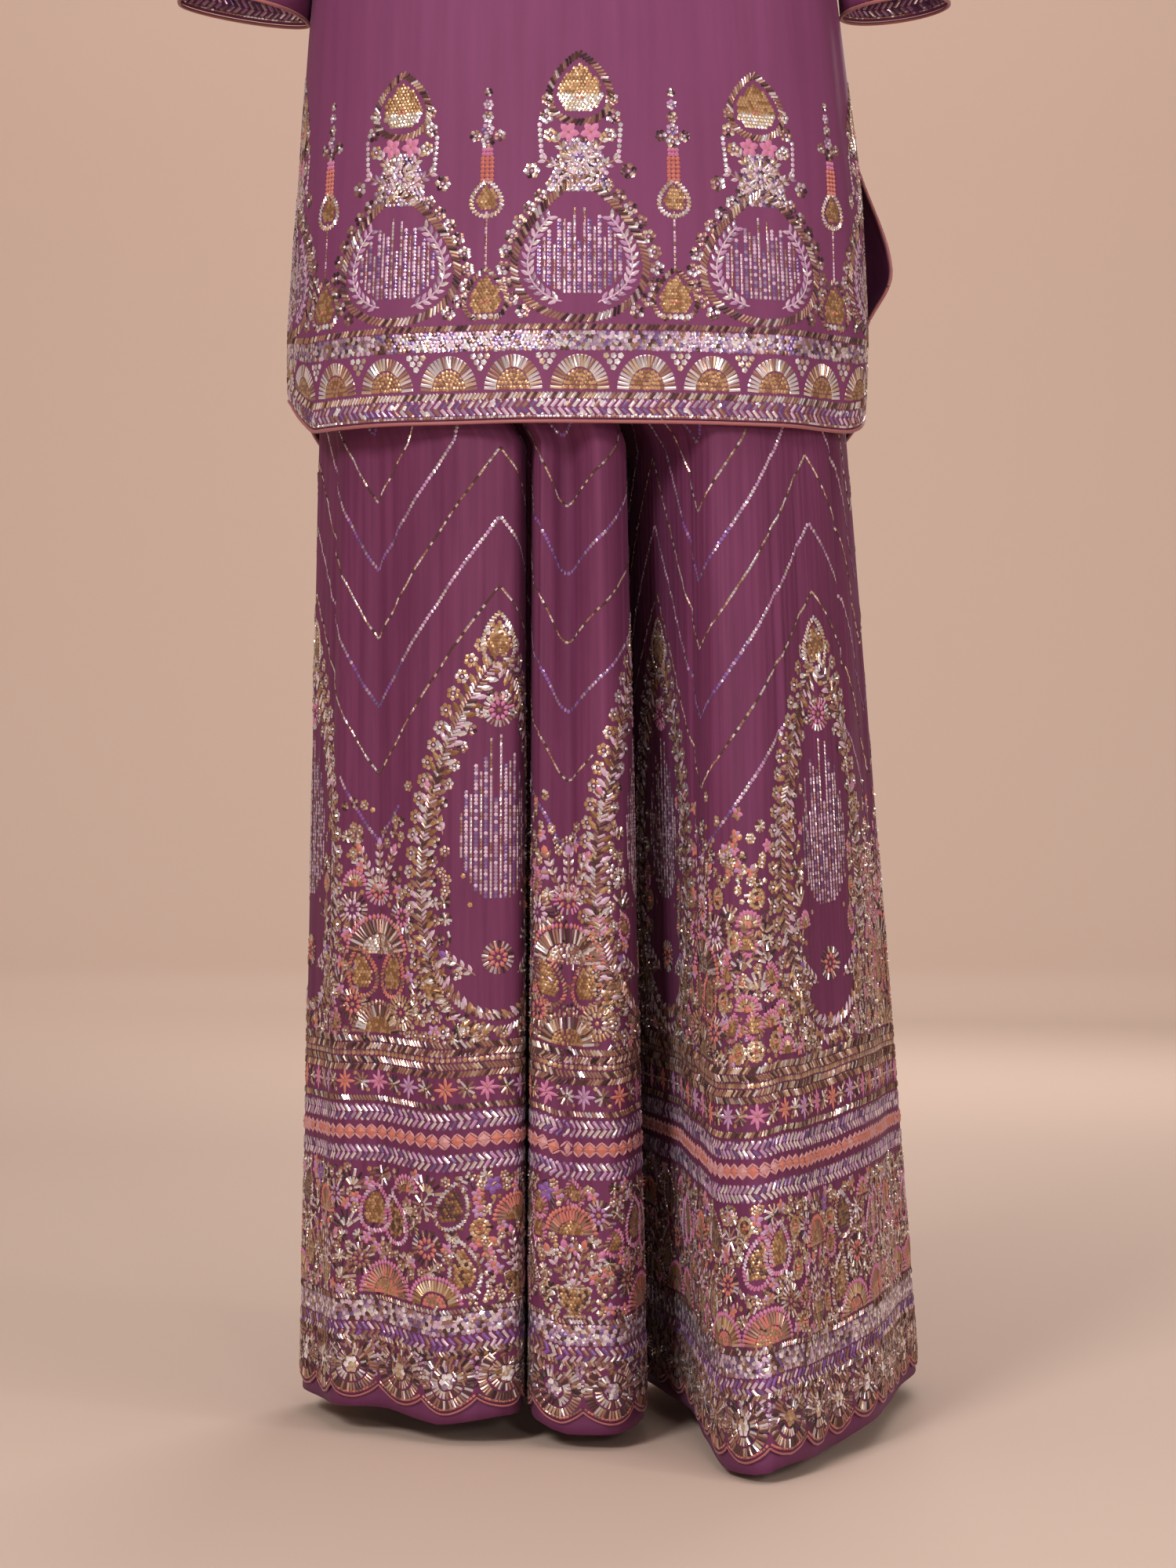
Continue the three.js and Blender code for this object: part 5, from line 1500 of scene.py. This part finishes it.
def palazzo_embroidery(leg):
    """All the embroidery of a leg, with its trees below the chevrons' peaks and bouquets below their dips."""
    e = Embroidery()
    hem_bands(e, leg)
    garden_band(e, leg)
    scatter(e, leg, GARDEN[0] + 8, GARDEN[1] - 8, 8.0, lambda v: 1.0, place_big)
    scatter(e, leg, GARDEN[0] + 2, GARDEN[1] - 2, 3.0, lambda v: 1.0)
    pepper(e, leg, GARDEN[0] + 1, GARDEN[1], lambda v: np.full(len(v), 0.2))
    turns, waves = CHEVRON_TURNS[leg.leg]
    peaks = [leg.u_at(q) for q in TREE_PLACES[leg.leg]]
    dips = [leg.u_at(q) for q, wave in zip(turns, waves) if wave < 0.5]
    for start in dips[:-1]:
        motif = Embroidery()
        bouquet(motif, TREES, 112)
        e.take(motif, lambda across, v, start=start: leg.ray(start, across, v))
    for start in peaks:
        motif = Embroidery()
        tree(motif, TREES, 288)
        e.take(motif, lambda across, v, start=start: leg.ray(start, across, v))

    def within(u, v, wide, top):
        """Which of the places lie in a tall wedge about a tree, wide mm across at its foot."""
        hit = np.zeros(len(u), bool)
        for start in peaks:
            edge = leg.ray(start, np.full(len(u), wide / 2), v) - leg.ray(start, np.full(len(u), -wide / 2), v)
            edge = (edge + leg.girth / 2) % leg.girth - leg.girth / 2
            reach = np.abs(edge) / 2 * np.clip((top - v) / 110, 0, 1)
            hit |= (np.abs(u - start) < reach) & (v < top)
        return hit

    def inner(u, v):
        return within(u, v, 64, TREES + 270) & (v > TREES + 22)

    scatter(e, leg, TREES + 8, 372, 8.0, lambda v: 1.0, place_big, inner)
    scatter(e, leg, TREES, 440, 3.2, lambda v: 1.0 - 0.97 * smooth((v - 330) / 100), closed=inner)
    pepper(e, leg, TREES, 400, lambda v: 0.2 * (1 - smooth((v - 300) / 100)), closed=inner)
    sew_chevrons(e, leg, lambda u, v: within(u, v, 132, TREES + 296))
    return e


# Building the pieces


def sew(piece, node):
    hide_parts(node)
    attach(piece, "root")


def build_kurta():
    sheets = {}
    for part, side in (("front", -1), ("back", 1)):
        sheet = kurta_sheet(side)
        half_width = sheet.u[-1]
        across = (-half_width, half_width)
        broad = soft_folds(3 + side, 9, 14, (9, 22), (0.5, 1.6), (120, 300), across, (40, 640))
        fine = crepe_crinkle(11 + side, 0.16, (9, 21))

        def height(u, v, broad=broad, fine=fine, half=half_width):
            edge = smooth((half - np.abs(u)) / 18) * smooth((780 - v) / 60)
            return (broad(u, v) + fine(u, v)) * edge

        sheet.crinkle(height)
        sheets[part] = sheet
        piece = cloth_object(f"kurta_{part}_cloth", sheet, np.arange(len(sheet.u)), CREPE)
        sew(piece, f"kurta_{part}")
        beads = kurta_embroidery(half_width)
        inset = half_width - 1.5
        beads.mesh(f"kurta_{part}_embroidery", sheet, lambda u, v, inset=inset: (np.abs(u) < inset) & (v > 0.5))
        kurta_cord(part, sheet)
    return sheets


def kurta_cord(part, sheet):
    """The wrapped piping down one slit edge, along the hem and up the other."""
    v = np.arange(232, 0, -6.0)
    left, right = sheet.u[0], sheet.u[-1]
    hem_u = np.linspace(left, right, 160)
    away = PIPING_RADIUS + SEAM
    sides = []
    for u, way in ((left, -1), (right, 1)):
        point, along, normal, _ = sheet.locate(np.full(len(v), u), v)
        sides.append(point + along * way * away - normal * CLOTH / 2)
    point, _, normal, up = sheet.locate(hem_u, np.zeros(len(hem_u)))
    hem = point - up * away - normal * CLOTH / 2
    path = np.concatenate([sides[0], hem, sides[1][::-1]])
    piece = wrapped_cord(f"kurta_{part}_wrapped_piping", path, PIPING_RADIUS, CORD_PITCH)
    sew(piece, f"kurta_{part}_piping")


def build_sleeves(kurta):
    for name in ("left", "right"):
        sheet = sleeve_sheet(name, kurta["front"], kurta["back"])
        girth = sheet.u[-1]
        broad = soft_folds(21, 7, 10, (7, 14), (0.4, 1.3), (60, 150), (12, girth - 12), (60, 380))

        def height(u, v, broad=broad, girth=girth, top=sheet.v[-1]):
            ends = smooth(u / 12) * smooth((girth - u) / 12) * smooth((top - v) / 60) * smooth(v / 20)
            return broad(u, v) * ends

        sheet.crinkle(height)
        piece = cloth_object(f"sleeve_{name}_cloth", sheet, np.arange(len(sheet.u)), CREPE)
        sew(piece, f"sleeve_{name}")
        sleeve_embroidery(girth).mesh(f"sleeve_{name}_embroidery", sheet)
        u = np.linspace(0, girth, 90)[:-1]
        point, _, normal, up = sheet.locate(u, np.zeros(len(u)))
        path = point - up * (PIPING_RADIUS + SEAM) - normal * CLOTH / 2
        cord = wrapped_cord(f"sleeve_{name}_wrapped_piping", path, PIPING_RADIUS, 1.6, closed=True)
        sew(cord, f"sleeve_{name}_piping")


def build_trousers():
    for name, crinkle_seed, fold_seed in (("left", 31, 41), ("right", 32, 42)):
        leg = Leg(name)
        sheet = leg.sheet
        sheet.close()
        girth = leg.girth
        fine = crepe_crinkle(crinkle_seed, 0.34, (7, 16))
        broad = soft_folds(fold_seed, 22, 16, (6, 15), (0.3, 1.1), (90, 260), (10, girth - 10), (40, 660))
        creases = [(leg.u_at(q), *rest) for q, *rest in CREASES[name]]

        def height(u, v, fine=fine, broad=broad, girth=girth, seam=leg.seam_u, creases=creases):
            calm = smooth(u / 10) * smooth((girth - u) / 10) * (1 - 0.8 * np.exp(-(((u - seam) / 6) ** 2)))
            total = fine(u, v) + broad(u, v)
            for at, deep, wide, low in creases:
                total -= deep * np.exp(-(((u - at) / wide) ** 2)) * smooth((v - low) / 160)
            return total * calm * smooth((700 - v) / 40) - 0.15 * (v > 640)

        sheet.crinkle(height)
        embroidery = palazzo_embroidery(leg)
        for part, first, last in (("front", 0, leg.seam_column), ("back", leg.seam_column, len(sheet.u) - 1)):
            columns = np.arange(first, last + 1)
            low, high = sheet.u[first], sheet.u[last]
            piece = cloth_object(f"palazzo_{name}_{part}_cloth", sheet, columns, CRINKLED, edge=leg.arch)
            sew(piece, f"palazzo_{name}_{part}")
            piece_name = f"palazzo_{name}_{part}_embroidery"
            embroidery.mesh(piece_name, sheet, lambda u, v, a=low, b=high: (u >= a) & (u < b))
        palazzo_edge(name, leg)
        lining(name, leg)


def palazzo_edge(name, leg):
    """The thread cord along the scalloped edge."""
    u = np.linspace(0, leg.girth, 1200)[:-1]
    point, _, normal, up = leg.sheet.locate(u, leg.arch(u))
    path = point - up * 0.6 - normal * CLOTH / 2
    cord = wrapped_cord(f"palazzo_{name}_scallop_cord", path, 1.05, 2.1, closed=True)
    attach(cord, "root")


def lining(name, leg):
    """The strip of lining that shows below the scallops, as a tube inside the leg."""
    plain = Sheet(leg.sheet.points_plain, leg.sheet.u, leg.sheet.v, leg.sheet.outward)
    plain.close()
    u = leg.sheet.u[::3]
    u = np.append(u[u < leg.girth - 3], leg.girth)
    low, _, normal_low, _ = plain.locate(u, np.zeros(len(u)))
    high, _, normal_high, _ = plain.locate(u, np.full(len(u), float(LINING_RISE)))
    away = (low - high) / LINING_RISE
    upper, lower = high - normal_high * LINING_OFFSET, low - normal_low * LINING_OFFSET
    rows = np.array([lower + away * LINING_DROP, lower, upper])
    sheet = Sheet(rows, u, np.array([0.0, LINING_DROP, LINING_RISE + LINING_DROP]), leg.sheet.outward)
    sheet.close()
    piece = cloth_object(f"palazzo_{name}_lining_cloth", sheet, np.arange(len(u)), LINING, thickness=1.0)
    sew(piece, f"palazzo_{name}_lining_hem")


def build_waistband():
    angle = np.linspace(0, 2 * math.pi, 361)
    gather = 1 + 0.006 * np.sin(90 * angle) + 0.003 * np.sin(61 * angle + 1)
    rows = []
    heights = np.array([0, 4, 8, 17, 26, 30, 34], float)
    for z, puff in zip(heights, (0, 0.9, 0.2, 0.7, 0.2, 0.9, 0)):
        x = (WAIST_SIDE + 0.2 + puff) * np.sin(angle) * gather
        y = -(WAIST_DEPTH + 0.2 + puff) * np.cos(angle) * gather
        rows.append(np.stack([x, y, np.full(len(angle), WAIST + SEAM + z)], axis=-1))
    points = np.array(rows)
    sheet = Sheet(points, run_along(points[0]), heights, 1)
    sheet.close()
    piece = cloth_object("palazzo_waistband_cloth", sheet, np.arange(len(angle)), CASING, thickness=2.4)
    sew(piece, "palazzo_waistband")


# Studio and camera

FLOOR = -1504
STUDIO_REACH, STUDIO_CURVE, STUDIO_WALL = 6500, 2500, 6000
PAPER = (0.69, 0.505, 0.41)
CAMERA_DISTANCE = 2600
CAMERA_X, CAMERA_Z = 5.7, -1041
PHOTO_HEIGHT = 2000
FOCAL_PIXELS = 4550


def build_studio():
    """A round pale floor that sweeps up into a wall on every side."""
    paper = principled("studio_paper", PAPER, 0.9)
    turn = np.radians(np.linspace(-90, 0, 13))
    profile = [(1.0, 0.0), (0.5 * STUDIO_REACH, 0.0)]
    for a in turn:
        profile.append((STUDIO_REACH + STUDIO_CURVE * math.cos(a), STUDIO_CURVE * (1 + math.sin(a))))
    profile += [(STUDIO_REACH + STUDIO_CURVE, STUDIO_WALL)]
    points = [(r * math.cos(a), r * math.sin(a), FLOOR + z) for r, z in profile for a in circle(96)]
    index = np.arange(len(points)).reshape(-1, 96)
    quads = grid_quads(np.concatenate([index, index[:, :1]], axis=1))[:, ::-1]
    new_object("studio_backdrop", points, quads, [paper])

    def area_light(name, place, size, power, target):
        data = bpy.data.lights.new(name, "AREA")
        data.energy, data.size = power, size
        lamp = bpy.data.objects.new(name, data)
        lamp.location = place
        lamp.visible_camera = False
        way = np.array(target) - np.array(place)
        lamp.rotation_euler = (
            math.atan2(math.hypot(way[0], way[1]), -way[2]),
            0,
            math.atan2(way[1], way[0]) - math.pi / 2,
        )
        bpy.context.scene.collection.objects.link(lamp)

    area_light("key", (-1.5, -3.2, 0.9), 0.9, 74, (0, 0, -0.9))
    area_light("fill", (2.4, -2.6, -0.2), 1.6, 18, (0, 0, -1.0))
    area_light("spark", (0.7, -3.4, -0.5), 0.3, 12, (0, 0, -1.0))
    area_light("spark_low", (-1.2, -3.0, -1.2), 0.3, 7, (0, 0, -1.1))
    area_light("spark_side", (2.6, -1.9, 0.4), 0.35, 10, (0, 0, -1.0))
    area_light("top", (0.2, -0.6, 2.0), 2.0, 24, (0, 0, -0.8))
    area_light("back", (0.9, 3.2, 0.7), 1.6, 45, (0, 0, -0.9))
    area_light("paper_wash", (0, 4.6, 2.6), 4.0, 135, (0, 8.6, 0.0))
    world = bpy.data.worlds.new("studio_world")
    world.use_nodes = True
    world.node_tree.nodes["Background"].inputs["Color"].default_value = (1.0, 0.95, 0.9, 1)
    world.node_tree.nodes["Background"].inputs["Strength"].default_value = 0.27
    bpy.context.scene.world = world


def build_camera():
    data = bpy.data.cameras.new("camera")
    data.sensor_width = 36
    data.lens = 36 * FOCAL_PIXELS / PHOTO_HEIGHT
    camera = bpy.data.objects.new("camera", data)
    camera.location = (CAMERA_X * MM, -CAMERA_DISTANCE * MM, CAMERA_Z * MM)
    camera.rotation_euler = (math.pi / 2, 0, 0)
    bpy.context.scene.collection.objects.link(camera)
    bpy.context.scene.camera = camera
    bpy.context.scene.view_settings.view_transform = "Standard"


build_camera()
build_studio()
build_sleeves(build_kurta())
build_trousers()
build_waistband()
